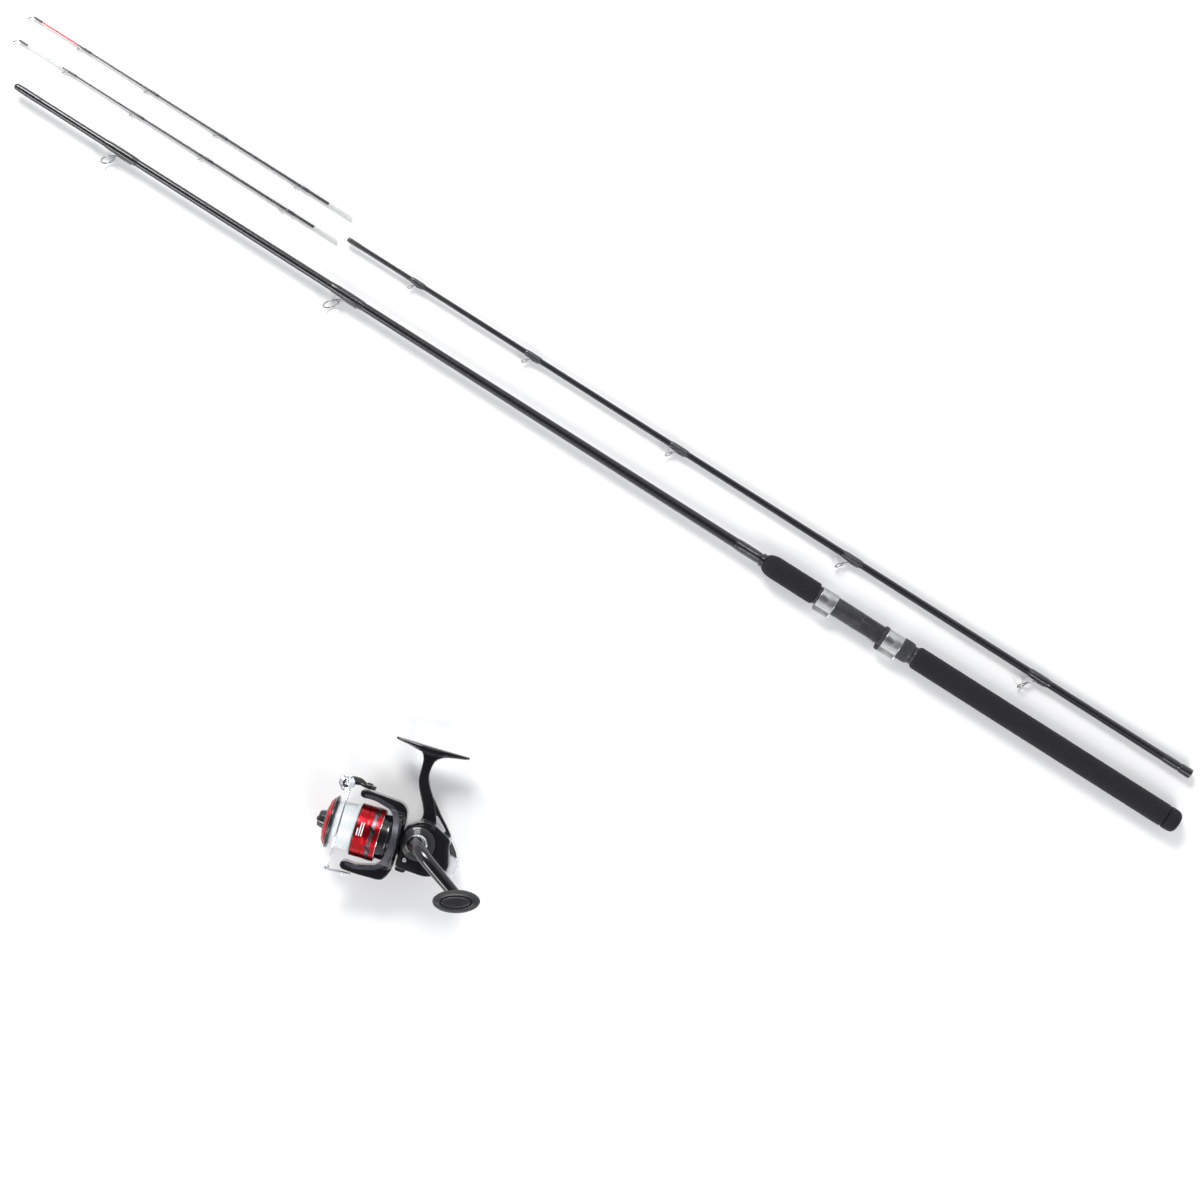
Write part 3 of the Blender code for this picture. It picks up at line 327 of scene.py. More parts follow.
def rounded(points, radius, count, closed=False):
    """The points, with each corner rounded over at most the radius on either side."""
    route = [Vector(point) for point in points]
    made = [] if closed else [route[0]]
    for index in range(0 if closed else 1, len(route) - (0 if closed else 1)):
        before, corner, after = route[index - 1], route[index], route[(index + 1) % len(route)]
        back, ahead = before - corner, after - corner
        start = corner + back.normalized() * min(radius, back.length * 0.49)
        end = corner + ahead.normalized() * min(radius, ahead.length * 0.49)
        for step in range(count + 1):
            t = step / count
            made.append(start * (1 - t) ** 2 + corner * (2 * t * (1 - t)) + end * t ** 2)
    if not closed:
        made.append(route[-1])
    return made


def through(points, before, after, count):
    """Points on a Catmull-Rom curve through the given ones, led in and out by one more on each side."""
    route = [Vector(point) for point in (before, *points, after)]
    made = []
    for a, b, c, d in zip(route, route[1:], route[2:], route[3:]):
        for step in range(count):
            t = step / count
            made.append(0.5 * (2 * b + (c - a) * t + (2 * a - 5 * b + 4 * c - d) * t * t
                               + (3 * b - a - 3 * c + d) * t ** 3))
    return made + [route[-2]]


def curved(points, count):
    """A curve through the points that runs straight on at both ends."""
    route = [Vector(point) for point in points]
    return through(route, route[0] * 2 - route[1], route[-1] * 2 - route[-2], count)


def mixed(low, high, share):
    """A value between two others."""
    return low + (high - low) * share


def placed(part, turn, at=(0, 0, 0)):
    """A part turned, then moved."""
    points, faces = part
    shift = Vector(at)
    return [(turn @ point) + shift for point in points], faces


def joined(*parts):
    """Several parts as one."""
    points, faces = [], []
    for more_points, more_faces in parts:
        first = len(points)
        points += more_points
        faces += [[first + index for index in face] for face in more_faces]
    return points, faces


def skin(rows, sides, closed=False, tube=False):
    """Faces over rows of points in rings, capped at both ends unless closed; tube turns the caps over."""
    faces = []
    for row in range(rows if closed else rows - 1):
        here, there = row * sides, (row + 1) % rows * sides
        for side in range(sides):
            ahead = (side + 1) % sides
            faces.append([here + side, here + ahead, there + ahead, there + side])
    if not closed:
        first, last = list(range(sides)), list(range((rows - 1) * sides, rows * sides))
        faces += [first[::-1], last] if tube else [first, last[::-1]]
    return faces


def powered(angle, power):
    """A squared-off circle's two coordinates at an angle."""
    return [math.copysign(abs(part) ** power, part) for part in (math.cos(angle), math.sin(angle))]


def lathe(profile, steps, closed=False, radius_at=None):
    """A profile of (x, radius) points turned round X; radius_at may change a radius by x and angle."""
    outline = [Vector(point[:2]) for point in profile]
    points = []
    for place in outline:
        for step in range(steps):
            angle = TURN * step / steps
            radius = radius_at(place.x, place.y, angle) if radius_at else place.y
            points.append(Vector((place.x, radius * math.cos(angle), radius * math.sin(angle))))
    return points, skin(len(outline), steps, closed)


def ring(profile, radius, count, steps):
    """A closed profile with rounded corners turned round X."""
    return lathe(rounded(profile, radius, count, True), steps, True)


def turned(profile, radius, count, steps):
    """A solid whose open profile has rounded corners, turned round X."""
    return lathe(rounded(profile, radius, count), steps)


def sweep(route, radii, sides, side_hint=(0, 0, 1)):
    """A tube along points. A radius is a number or a pair, the first along the hint; the last repeats."""
    places = [Vector(point) for point in route]
    count = len(places)
    sizes = [radii[min(index, len(radii) - 1)] for index in range(count)]
    sizes = [size if isinstance(size, tuple) else (size, size) for size in sizes]
    points = []
    side = Vector(side_hint)
    for index, place in enumerate(places):
        along = (places[min(index + 1, count - 1)] - places[max(index - 1, 0)]).normalized()
        side = (side - along * side.dot(along)).normalized()
        other = along.cross(side)
        wide, tall = sizes[index]
        for step in range(sides):
            angle = TURN * step / sides
            points.append(place + side * (wide * math.cos(angle)) + other * (tall * math.sin(angle)))
    return points, skin(count, sides, tube=True)


def round_ended(route, radius, sides):
    """A tube of one radius with domed ends."""
    places = [Vector(point) for point in route]
    first = (places[0] - places[1]).normalized()
    last = (places[-1] - places[-2]).normalized()
    angles = [math.pi / 2 * step / 5 for step in range(1, 6)]
    start = [places[0] + first * (radius * math.sin(angle)) for angle in reversed(angles)]
    end = [places[-1] + last * (radius * math.sin(angle)) for angle in angles]
    shrink = [max(radius * math.cos(angle), radius * 0.02) for angle in angles]
    radii = shrink[::-1] + [radius] * len(places) + shrink
    return sweep(start + places + end, radii, sides)


def prism(outline, low, high, bevel, segments):
    """An outline of (x, z) points between two depths along Y, with rounded rims."""
    shape = bmesh.new()
    corners = [shape.verts.new((point[0], low, point[1])) for point in outline]
    face = shape.faces.new(corners)
    made = bmesh.ops.extrude_face_region(shape, geom=[face])
    moved = [item for item in made["geom"] if isinstance(item, bmesh.types.BMVert)]
    bmesh.ops.translate(shape, vec=(0, high - low, 0), verts=moved)
    rims = [edge for edge in shape.edges if abs(edge.verts[0].co.y - edge.verts[1].co.y) < 0.001]
    bmesh.ops.bevel(shape, geom=rims, offset=bevel, segments=segments, profile=0.5, affect="EDGES",
                    clamp_overlap=True)
    shape.verts.index_update()
    points = [vert.co.copy() for vert in shape.verts]
    faces = [[vert.index for vert in face.verts] for face in shape.faces]
    shape.free()
    return points, faces


def slab(outline, radius, count, low, high, bevel, segments):
    """A prism whose outline's corners are rounded first."""
    return prism(rounded(outline, radius, count, True), low, high, bevel, segments)


def torus(radius, wire, steps=56, sides=20):
    """A ring round X."""
    angles = [TURN * side / sides for side in range(sides)]
    circle = [(wire * math.sin(angle), radius + wire * math.cos(angle)) for angle in angles]
    return lathe(circle, steps, True)


def mesh_of(name, part, weld):
    """A part's mesh in metres, its faces facing out and, if asked, its doubled points made one."""
    points, faces = part
    mesh = bpy.data.meshes.new(name)
    mesh.from_pydata([tuple(point * MM) for point in points], [], faces)
    shape = bmesh.new()
    shape.from_mesh(mesh)
    if weld:
        bmesh.ops.remove_doubles(shape, verts=shape.verts, dist=WELD_DISTANCE)
    bmesh.ops.recalc_face_normals(shape, faces=shape.faces)
    shape.to_mesh(mesh)
    shape.free()
    return mesh


def in_scene(name, data):
    """A new object in the scene."""
    made = bpy.data.objects.new(name, data)
    bpy.context.scene.collection.objects.link(made)
    return made


def shade(mesh, sharp):
    """Smooth shading that breaks at edges sharper than an angle in degrees."""
    mesh.shade_smooth()
    mesh.set_sharp_from_angle(angle=math.radians(sharp))


def show(name, part, look, place, body, node=None, sharp=SHARP_EDGE):
    """Put a part in the scene as a finished piece that rides on a body and may stand for a CAD node."""
    mesh = mesh_of(name, part, True)
    shade(mesh, sharp)
    mesh.materials.append(LOOKS[look])
    made = in_scene(name, mesh)
    made.matrix_world = place
    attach(made, body)
    if node:
        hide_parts(node)
    return made


def butt_piece(name, part, look, node=None):
    """A piece of the butt section."""
    show(name, part, look, BUTT, "butt_section", node)


def tip_piece(name, part, look, node=None):
    """A piece of the tip section."""
    show(name, part, look, TIP, "tip_section", node)


def moulded(made, voxel_mm, rounds):
    """Fuse a piece's overlapping shells and soften its creases, as a moulding."""
    remesh = made.modifiers.new("fuse", "REMESH")
    remesh.mode = "VOXEL"
    remesh.voxel_size = voxel_mm * MM
    remesh.use_smooth_shade = True
    soften = made.modifiers.new("soften", "SMOOTH")
    soften.iterations = rounds
    soften.factor = 0.5


def carry(node, look):
    """Give a CAD node that stays in view its finished material."""
    mesh = frame["nodes"][node].data
    mesh.materials.clear()
    mesh.materials.append(LOOKS[look])


# ---------------------------------------------------------------- rod pieces

GUIDE_LEAN = math.radians(35)
GUIDE_OUT = Vector((-math.sin(GUIDE_LEAN), -math.cos(GUIDE_LEAN), 0))    # from the blank to a guide's ring
RING_TWIST = math.radians(26)
BLANK_TIP_RADIUS = 3.2
BLANK_GRIP_RADIUS = 4.9
GRIP_BORE = 5.3
GRIP_RADIUS = 10.6
BARREL_RADIUS = 8.6
TIP_THIN = 2.1
TIP_THICK = 3.9
QUIVER_LENGTH = 336.0
QUIVER_WIRE = 0.38


def along_blank(x, start, end, start_radius, end_radius):
    """A tapered blank's radius at a place."""
    return mixed(start_radius, end_radius, min(max((x - start) / (end - start), 0), 1))


def butt_radius(x):
    """The butt section's radius at a place."""
    return along_blank(x, span("butt_blank")[0], span("fore_grip")[0], BLANK_TIP_RADIUS, BLANK_GRIP_RADIUS)


def epoxied(low, high, radius, swell):
    """A whipping's glossy coat: a thin bead with feathered ends."""
    count = 16
    profile = []
    for step in range(count + 1):
        share = step / count
        edge = min(share, 1 - share) * 5
        profile.append((mixed(low, high, share), radius + swell * math.sqrt(min(edge, 1))))
    return lathe([(low, radius - 0.6)] + profile + [(high, radius - 0.6)], 40)


def guide_wire(x, bore, ring_radius, reach, wire, sleeve):
    """A single-foot guide: ring, two legs that meet under it, and a flattened foot on the blank."""
    lean = Matrix.Rotation(RING_TWIST, 3, GUIDE_OUT) @ Matrix.Rotation(-GUIDE_LEAN, 3, "Z")
    centre = GUIDE_OUT * (reach / math.cos(GUIDE_LEAN))
    eye = placed(torus(ring_radius, wire), lean, centre + Vector((x, 0, 0)))
    parts = [eye]
    root = -(bore + wire + 0.1)
    for side in (-1, 1):
        across = lean @ Vector((0, 0, side))
        join = centre - GUIDE_OUT * (ring_radius * 0.78) + across * (ring_radius * 0.62)
        neck = centre - GUIDE_OUT * (ring_radius + reach * 0.22) + across * (wire * 0.8)
        foot = Vector((-sleeve * 0.06, root, side * wire * 0.8))
        back = Vector((sleeve * 0.34, root, side * wire * 0.5))
        route = curved([join, neck, foot, back], 7)
        route = [point + Vector((x, 0, 0)) for point in route]
        parts.append(round_ended(route, wire * 0.92, 12))
    return joined(*parts)


def rod_guide(node, place, body, bore_at, ring_radius, reach, wire, sleeve):
    """A whipped guide: thread and epoxy as one piece, the wire frame as another."""
    half = sleeve / 2
    x = span(node)[1] - half
    bore = bore_at(x + half) + 0.05
    coat = epoxied(x - half, x + half, bore, 0.55)
    foot = sweep([(x - sleeve * 0.1, -bore - 0.1, 0), (x + sleeve * 0.05, -bore - 0.75, 0),
                  (x + sleeve * 0.3, -bore - 0.35, 0), (x + sleeve * 0.42, -bore + 0.2, 0)],
                 [(1.3, 0.5), (1.3, 0.6), (1.1, 0.5), (0.6, 0.3)], 16)
    show(node + "_whipping", joined(coat, foot), "whipping", place, body, node)
    wires = guide_wire(x, bore, ring_radius, reach, wire, sleeve)
    show(node + "_wire", wires, "guide_wire", place, body, node)


def rod_blank():
    """The butt section's blank with its rounded nose, in lacquered carbon."""
    low, end = span("butt_blank")[0], span("butt_cap")[0]
    nose = [(low + BLANK_TIP_RADIUS * (1 - math.cos(a)), BLANK_TIP_RADIUS * math.sin(a))
            for a in (math.radians(3 + 12.4 * step) for step in range(8))]
    places = [low + BLANK_TIP_RADIUS + step * 20 for step in range(1, 39)]
    body = [(x, butt_radius(x)) for x in places]
    butt_piece("butt_blank_lacquered", lathe(nose + body + [(end, BLANK_GRIP_RADIUS)], 40), "carbon",
               "butt_blank")
    butt_piece("butt_nose_wrap", epoxied(low + 3.4, low + 30, butt_radius(low + 30) - 0.15, 0.35), "whipping")
    for number, (ring_radius, reach) in enumerate(((5.7, 12.0), (6.7, 14.0)), 1):
        rod_guide(f"butt_guide_{number}", BUTT, "butt_section", butt_radius, ring_radius, reach, 0.75, 34.0)
    wrap = span("winding_check")[0]
    butt_piece("grip_wrap", epoxied(wrap - 26, wrap - 0.4, BLANK_GRIP_RADIUS + 0.05, 0.45), "whipping")


def rod_grips():
    """Foam grips, the rubber cap and the ring in front of the fore grip."""
    low, high = span("fore_grip")
    fore = turned([(low, GRIP_BORE), (low, 6.6), (low + 4, 9.2), (low + 10, 10.3), (high - 1.2, 10.3),
                   (high, 9.2), (high, GRIP_BORE)], 2.4, 6, 72)
    low, high = span("rear_grip")
    rear = turned([(low, GRIP_BORE), (low, 9.0), (low + 2.24, GRIP_RADIUS), (high - 0.3, GRIP_RADIUS),
                   (high, 10.39), (high, GRIP_BORE)], 2.2, 6, 72)
    low, high = span("butt_cap")
    cap = turned([(low, 0.5), (low, GRIP_RADIUS), (high - 5, GRIP_RADIUS), (high - 1.4, 9.0), (high, 5.5),
                  (high, 0.4)], 3, 6, 72)
    for node, part in (("fore_grip", fore), ("rear_grip", rear), ("butt_cap", cap)):
        butt_piece(f"{node}_foam", part, "foam", node)
    low, high = span("winding_check")
    check = turned([(low, GRIP_BORE), (low, 5.9), (low + 0.6, 6.3), (low + 1.6, 6.3), (low + 1.9, 5.9),
                    (low + 2.3, 6.3), (high - 0.3, 6.3), (high, 5.9), (high, GRIP_BORE)], 0.3, 3, 56)
    butt_piece("winding_check_ring", check, "gloss_black", "winding_check")


def thread(low, high, radius, depth, pitch):
    """A cylinder with a true helical thread between low and high."""
    lines = int((high - low) / pitch * 8)
    profile = [(low, GRIP_BORE)] + [(mixed(low, high, step / lines), radius) for step in range(lines + 1)]
    profile.append((high, GRIP_BORE))

    def cut(x, flat, angle):
        """The crest follows the helix."""
        if flat < radius:
            return flat
        phase = (x - low) / pitch - angle / TURN
        ridge = abs((phase % 1) - 0.5) * 2
        fade = min((x - low) / 2, (high - x) / 2, 1)
        return radius - depth * fade * min(max(1.4 - ridge * 1.9, 0), 1)
    return lathe(profile, 64, radius_at=cut)


def hood_shape(low, high, radius, top, half_width, wall):
    """A drawn hood: a round collar with a raised tunnel for the foot, open inside."""
    def outside(flat, angle):
        """The collar's outline with the flat-topped tunnel on the -Y side."""
        across, up = -math.cos(angle), abs(math.sin(angle))
        if across <= 0:
            return flat
        reach = min(top / max(across, 1e-6), half_width / max(up, 1e-6))
        blend = (across - 0.55) / 0.12
        return max(flat, mixed(flat, reach, min(max(blend, 0), 1)) + flat - radius)
    outer = rounded([(low, radius - 0.6), (low, radius), (high, radius), (high, radius - 0.6)], 0.5, 4)
    inner = [(high, BARREL_RADIUS + 0.25), (low, BARREL_RADIUS + 0.25)]

    def both_sides(x, flat, angle):
        """The inside follows the outside, a wall's thickness in."""
        return outside(flat, angle) if flat > radius - 0.7 else outside(flat + wall, angle) - wall
    return lathe(outer + inner, 120, True, both_sides)


def rod_seat():
    """Threaded barrel, two brushed hoods, the plastic lip and the knurled nut."""
    start, end = span("seat_barrel")
    turn_start = span("fixed_hood")[1] + 26
    plain = rounded([(start, GRIP_BORE), (start, BARREL_RADIUS), (turn_start - 0.4, BARREL_RADIUS),
                     (turn_start, BARREL_RADIUS - 0.3)], 0.4, 4)
    butt_piece("seat_barrel_threaded",
               joined(lathe(plain, 72), thread(turn_start, end, BARREL_RADIUS, 0.55, 1.5)),
               "seat", "seat_barrel")
    drawn, lip = (9.8, 12.4, 4.9, 0.9), (10.0, 12.6, 5.1, 1.1)
    for node, finish, sizes, look, body, slot in (
            ("fixed_hood", "brushed", drawn, "hood_steel", "butt_section", "hood_metal"),
            ("moving_hood", "brushed", drawn, "hood_steel", "seat_hood", "hood_metal"),
            ("moving_hood_lip", "moulded", lip, "seat", "seat_hood", "seat_plastic")):
        show(f"{node}_{finish}", hood_shape(*span(node), *sizes), look, BUTT, body, node)
    low, high = span("lock_nut")
    outer = rounded([(low, BARREL_RADIUS + 0.3), (low, 9.7), (low + 0.5, 10.1), (high - 3, 10.1),
                     (high - 0.6, 9.6), (high, 9.2), (high, BARREL_RADIUS + 0.3)], 0.3, 3)
    fine = []
    for before, after in zip(outer, outer[1:]):
        steps = max(int((after - before).length / 0.6), 1)
        fine += [before + (after - before) * (step / steps) for step in range(steps)]
    fine.append(outer[-1])

    def knurl(x, flat, angle):
        """Fine grip flutes along the nut's middle."""
        if flat < 9.4 or x < low + 1.2 or x > high - 2.6:
            return flat
        return flat - 0.32 * (0.5 + 0.5 * math.cos(angle * 36))
    show("lock_nut_knurled", lathe(fine, 216, True, knurl), "seat", BUTT, "seat_nut",
         "lock_nut")


def tip_radius(x):
    """The tip section's radius at a place."""
    return along_blank(x, *span("tip_blank"), TIP_THIN, TIP_THICK)


def tip_section():
    """The tip section's blank with its socket, base sleeve and five whipped guides."""
    low, high = span("tip_blank")
    depth = high - 45
    outer = [(mixed(low, high, step / 40), mixed(TIP_THIN, TIP_THICK, step / 40)) for step in range(41)]
    inside = [(high, 3.3), (depth, 3.25), (depth, 0.3)]
    quiver_socket = [(low + 30, 0.3), (low + 30, 1.55), (low, 1.55)]
    tip_piece("tip_blank_lacquered", lathe(quiver_socket + outer + inside, 40), "carbon",
              "tip_blank")
    sleeve = turned([(high - 11.5, 3.95), (high - 11.2, 4.5), (high - 1.2, 4.65), (high, 4.3), (high, 3.4)],
                    0.6, 4, 48)
    tip_piece("ferrule_sleeve_whipped", sleeve, "whipping", "ferrule_sleeve")
    tip_piece("tip_top_whipping", epoxied(low + 0.3, low + 14, TIP_THIN, 0.3), "whipping")
    tip_piece("base_whipping", epoxied(high - 30, high - 12, 3.85, 0.3), "whipping")
    guides = ((2.1, 6.5), (2.4, 7.5), (2.8, 9.0), (3.2, 11.0), (3.7, 14.0))
    for number, (ring_radius, reach) in enumerate(guides, 1):
        rod_guide(f"tip_guide_{number}", TIP, "tip_section", tip_radius, ring_radius, reach,
                  0.42 + 0.04 * number, 13.0 + 1.8 * number)


def quiver(node, body, paint_name):
    """A quiver tip: painted top, dark taper, bare base, with five tiny whipped guides."""
    base = span(node)[1]
    top = base - QUIVER_LENGTH
    place = rolled(*quiver_axis(node), 0)

    def radius(x):
        """The taper from the tip to the base."""
        return mixed(0.7, QUIVER_BASE_RADIUS, (x - top) / QUIVER_LENGTH)
    bare = QUIVER_LENGTH - 24
    stretches = ((0, 46, paint_name), (46, bare, "carbon"), (bare, QUIVER_LENGTH, "bare_glass"))
    for number, (start, end, look) in enumerate(stretches):
        places = [top + mixed(start, end, step / 12) for step in range(13)]
        rings = [(x, radius(x)) for x in places]
        if end == QUIVER_LENGTH:
            rings = rings[:-1] + [(base - 0.5, QUIVER_BASE_RADIUS), (base, QUIVER_BASE_RADIUS - 0.5)]
        show(f"{node}_stretch_{number}", lathe(rings, 24), look, place, body, node)
    for number, along in enumerate((-1.0, 51.0, 122.0, 195.0, 281.0)):
        x = top + along
        ring_radius = 1.35 if number == 0 else 1.5
        centre = GUIDE_OUT * (2.6 + ring_radius) + Vector((x, 0, 0))
        lean = Matrix.Rotation(-GUIDE_LEAN, 3, "Z")
        eye = placed(torus(ring_radius, QUIVER_WIRE, 36, 14), lean, centre)
        route = [(x + 7, -0.5, 0), (x + 3, -0.7, 0), (x + 0.8, -1.0, 0), centre - GUIDE_OUT * ring_radius]
        leg = round_ended(curved(route, 6), QUIVER_WIRE, 12)
        show(f"{node}_ring_{number}", joined(eye, leg), "guide_wire", place, body)
        wrap_start = max(x + 1.2, top + 0.2)
        coat = epoxied(wrap_start, wrap_start + 9, radius(wrap_start), 0.32)
        show(f"{node}_wrap_{number}", coat, "whipping", place, body)


def quiver_axis(node):
    """A quiver's axis (y, z) in metres: the middle of the points at its base end."""
    end = span(node)[1]
    places = [vertex.co / MM for vertex in frame["nodes"][node].data.vertices]
    base = [point for point in places if point.x > end - 0.01]
    ys = [point.y for point in base]
    zs = [point.z for point in base]
    return (min(ys) + max(ys)) / 2 * MM, (min(zs) + max(zs)) / 2 * MM


# ---------------------------------------------------------------- reel pieces

CRANK_Z = 4.5
CRANK_DIRECTION = Vector((-0.839, 0, -0.545))
CRANK_REACH = 57
KNOB_LONG_WAY = (0.286, -0.958)          # the knob's long way: its share along Z, then along X
BAIL_X = 56.0
ROLLER_X, ROLLER_Z = 74.7, 38.2
WIRE_END = (72.2, 24.4, 42.6)
HOLDER_END = (71.7, 12.4)
ARM_HALF_WIDTH = 9.6
SHELL_RADIUS = 27.5
SHELL_INSIDE = 24.6
SHELL_BACK = 19.5
WOUND_ENDS = (57.5, 76.7)
WOUND_RADII = (21.7, 19.6)
WOUND_CORE = 16.8
SLOT_X = 41.4
SLOT_HALF = (5.0, 1.2)
SLOT_SLANT = (0.78, 0.62)                # cosine and sine of the slots' slant
STRIP_SIDES = 14
MARK_POWER = 0.75
FOOT_POWER = 0.45
SWAP_YZ = Matrix(((1, 0, 0), (0, 0, 1), (0, 1, 0)))
SWAP_XY = Matrix(((0, 1, 0), (1, 0, 0), (0, 0, 1)))
BODY_OUTLINE = [(14.3, -20.5), (4.0, -21.3), (-12.6, -22.0), (-25.7, -17.8), (-30.8, -11.5), (-31.2, -7.5),
                (-28.5, 2.8), (-26.4, 9.5), (-26.6, 15.5), (-21.9, 18.3), (-9.9, 24.3), (2.5, 25.0),
                (7.5, 21.5), (14.3, 17.0)]
CAVITY_OUTLINE = [(11.8, -18.0), (3.5, -18.8), (-12.0, -19.4), (-24.2, -15.4), (-28.2, -10.0),
                  (-25.8, 3.0), (-23.8, 13.2), (-11.0, 18.6), (6.0, 18.6), (11.8, 15.0)]
STEM_FRONT = [(24.0, 84.6), (19.5, 81.4), (17.0, 76.1), (16.6, 67.3), (16.5, 59.4), (15.4, 54.9),
              (12.4, 47.9), (7.0, 38.3), (3.6, 31.4), (3.4, 26.0), (6.0, 20.0), (-10.0, 17.0),
              (-10.2, 25.2), (-6.8, 33.4), (-3.2, 41.0), (-1.0, 46.0), (2.9, 51.3), (6.4, 57.6),
              (8.4, 63.4), (8.4, 69.7), (7.2, 76.4), (2.3, 81.4), (-8.0, 84.6)]
STEM_REAR = [(3.0, 49.0), (-2.2, 44.9), (-12.1, 32.9), (-19.6, 25.1), (-26.0, 17.6), (-24.0, 13.0),
             (-17.0, 15.0), (-20.4, 20.6), (-6.8, 33.6), (2.0, 42.0)]
FOOT_STATIONS = ((-21.8, 3.6, 86.6), (-18.5, 4.6, 85.9), (-9.0, 6.4, 84.2), (2.0, 8.5, 82.3),
                 (12.0, 8.6, 81.2), (22.0, 8.5, 82.2), (33.0, 6.4, 84.7), (42.0, 4.6, 86.0),
                 (45.4, 3.6, 86.6))
FOOT_TOP = 88.8
ROTOR_SIDE = [(61.5, 36.6), (44.4, 35.7), (23.3, 34.4), (18.2, 30.2), (16.5, 26.0), (15.8, 18.3),
              (15.8, -18.3), (16.5, -26.0), (18.8, -32.4), (22.7, -37.0), (44.4, -37.6), (61.5, -36.6),
              (61.5, -28.4), (48.0, -29.5), (36.0, -26.4), (28.6, -24.4), (26.1, -18.3), (24.2, -9.0),
              (23.2, 0.0), (24.2, 9.0), (26.1, 18.3), (28.6, 24.4), (36.0, 26.4), (48.0, 29.5),
              (61.5, 28.4)]
YOKE_RIM = ((0.0, 23.2), (9.0, 24.2), (18.3, 26.1), (23.6, 29.6), (25.8, 33.0), (27.5, 34.5))


def reel_piece(name, part, look, body, node=None, sharp=SHARP_EDGE):
    """A piece of the reel."""
    return show(name, part, look, REEL, body, node, sharp)


def across(part, x, z):
    """A part turned round X, stood along Y at a place."""
    return placed(part, ALONG_Y, (x, 0, z))


def at_crank(part):
    """A part stood on the crank's axis."""
    return across(part, 0, CRANK_Z)


def ovals(stations, steps):
    """Ovals stacked along Y: (y, half length along X, half length along Z)."""
    points = []
    for y, half_x, half_z in stations:
        for step in range(steps):
            angle = TURN * step / steps
            points.append(Vector((half_x * math.cos(angle), y, half_z * math.sin(angle))))
    return points, skin(len(stations), steps)


def foot_plate():
    """The reel's foot: a flat top over an arched underside, narrower at its ends."""
    sides = 20
    stations = []
    for here, there in zip(FOOT_STATIONS, FOOT_STATIONS[1:]):
        stations += [[mixed(*pair, step / 4) for pair in zip(here, there)] for step in range(4)]
    stations.append(FOOT_STATIONS[-1])
    points = []
    for x, half, low in stations:
        middle, rise = (FOOT_TOP + low) / 2, (FOOT_TOP - low) / 2
        for side in range(sides):
            wide, tall = powered(TURN * side / sides, FOOT_POWER)
            points.append(Vector((x, wide * half, middle + tall * rise)))
    return points, skin(len(stations), sides)


def carved(made, *cutters):
    """Apply a piece's modifiers, cut parts out of it, and keep the result as its mesh."""
    tools = []
    for part in cutters:
        tool = in_scene("cutter", mesh_of("cutter", part, False))
        tool.matrix_world = made.matrix_world
        cut = made.modifiers.new("cut", "BOOLEAN")
        cut.operation = "DIFFERENCE"
        cut.object = tool
        cut.solver = "EXACT"
        tools.append(tool)
    bpy.context.view_layer.update()
    graph = bpy.context.evaluated_depsgraph_get()
    baked = bpy.data.meshes.new_from_object(made.evaluated_get(graph))
    made.modifiers.clear()
    made.data = baked
    shade(baked, SHARP_EDGE)
    look = made.data.materials[0]
    made.data.materials.clear()
    made.data.materials.append(look)
    for tool in tools:
        bpy.data.objects.remove(tool)


def gearbox():
    """The housing casting with its stem and foot, and the cap on its far side."""
    body = slab(BODY_OUTLINE, 3.0, 4, -14.0, 17.0, 2.6, 5)
    nose_ring = ring([(10.0, 6.5), (10.0, 13.0), (15.5, 12.4), (15.5, 6.5)], 0.6, 4, 64)
    front = slab(STEM_FRONT, 4.0, 4, -4.9, 4.9, 3.9, 7)
    rear = slab(STEM_REAR, 2.0, 3, -4.0, 4.0, 1.9, 4)
    casting = joined(body, nose_ring, front, rear, foot_plate())
    made = reel_piece("housing_casting", casting, "gloss_black", "reel_body", "housing")
    moulded(made, 0.5, 7)
    cavity = prism(CAVITY_OUTLINE, -15.5, 14.5, 0.2, 1)
    nose = lathe([(9.0, 5.3), (16.0, 5.3)], 40)
    side = at_crank(lathe([(12.0, 6.3), (19.0, 6.3)], 40))
    carved(made, cavity, nose, side)
    panel = slab([(x * 0.9 - 0.8, z * 0.88) for x, z in BODY_OUTLINE], 2.4, 4, 16.0, 17.35, 0.35, 3)
    made = reel_piece("housing_side_panel", panel, "gloss_black", "reel_body")
    carved(made, at_crank(lathe([(12.0, 13.5), (19.0, 13.5)], 64)))
    plate = slab([(x * 0.995, z * 0.995) for x, z in BODY_OUTLINE], 3.0, 4, -17.0, -14.3, 1.0, 3)
    boss = at_crank(turned([(-28.0, 0.4), (-28.0, 9.0), (-15.0, 9.6), (-15.0, 0.4)], 1.4, 5, 56))
    cap = reel_piece("side_cap_moulded", joined(plate, boss), "satin_black", "reel_body",
                     "side_cap")
    moulded(cap, 0.45, 3)
    carved(cap, at_crank(lathe([(-19.6, 5.3), (-13.0, 5.3)], 40)))


def slot_cutter(long, wide, low, high):
    """A screw slot's cutter, by its half length and half width."""
    return prism([(-long, -wide), (long, -wide), (long, wide), (-long, wide)], low, high, 0.02, 1)


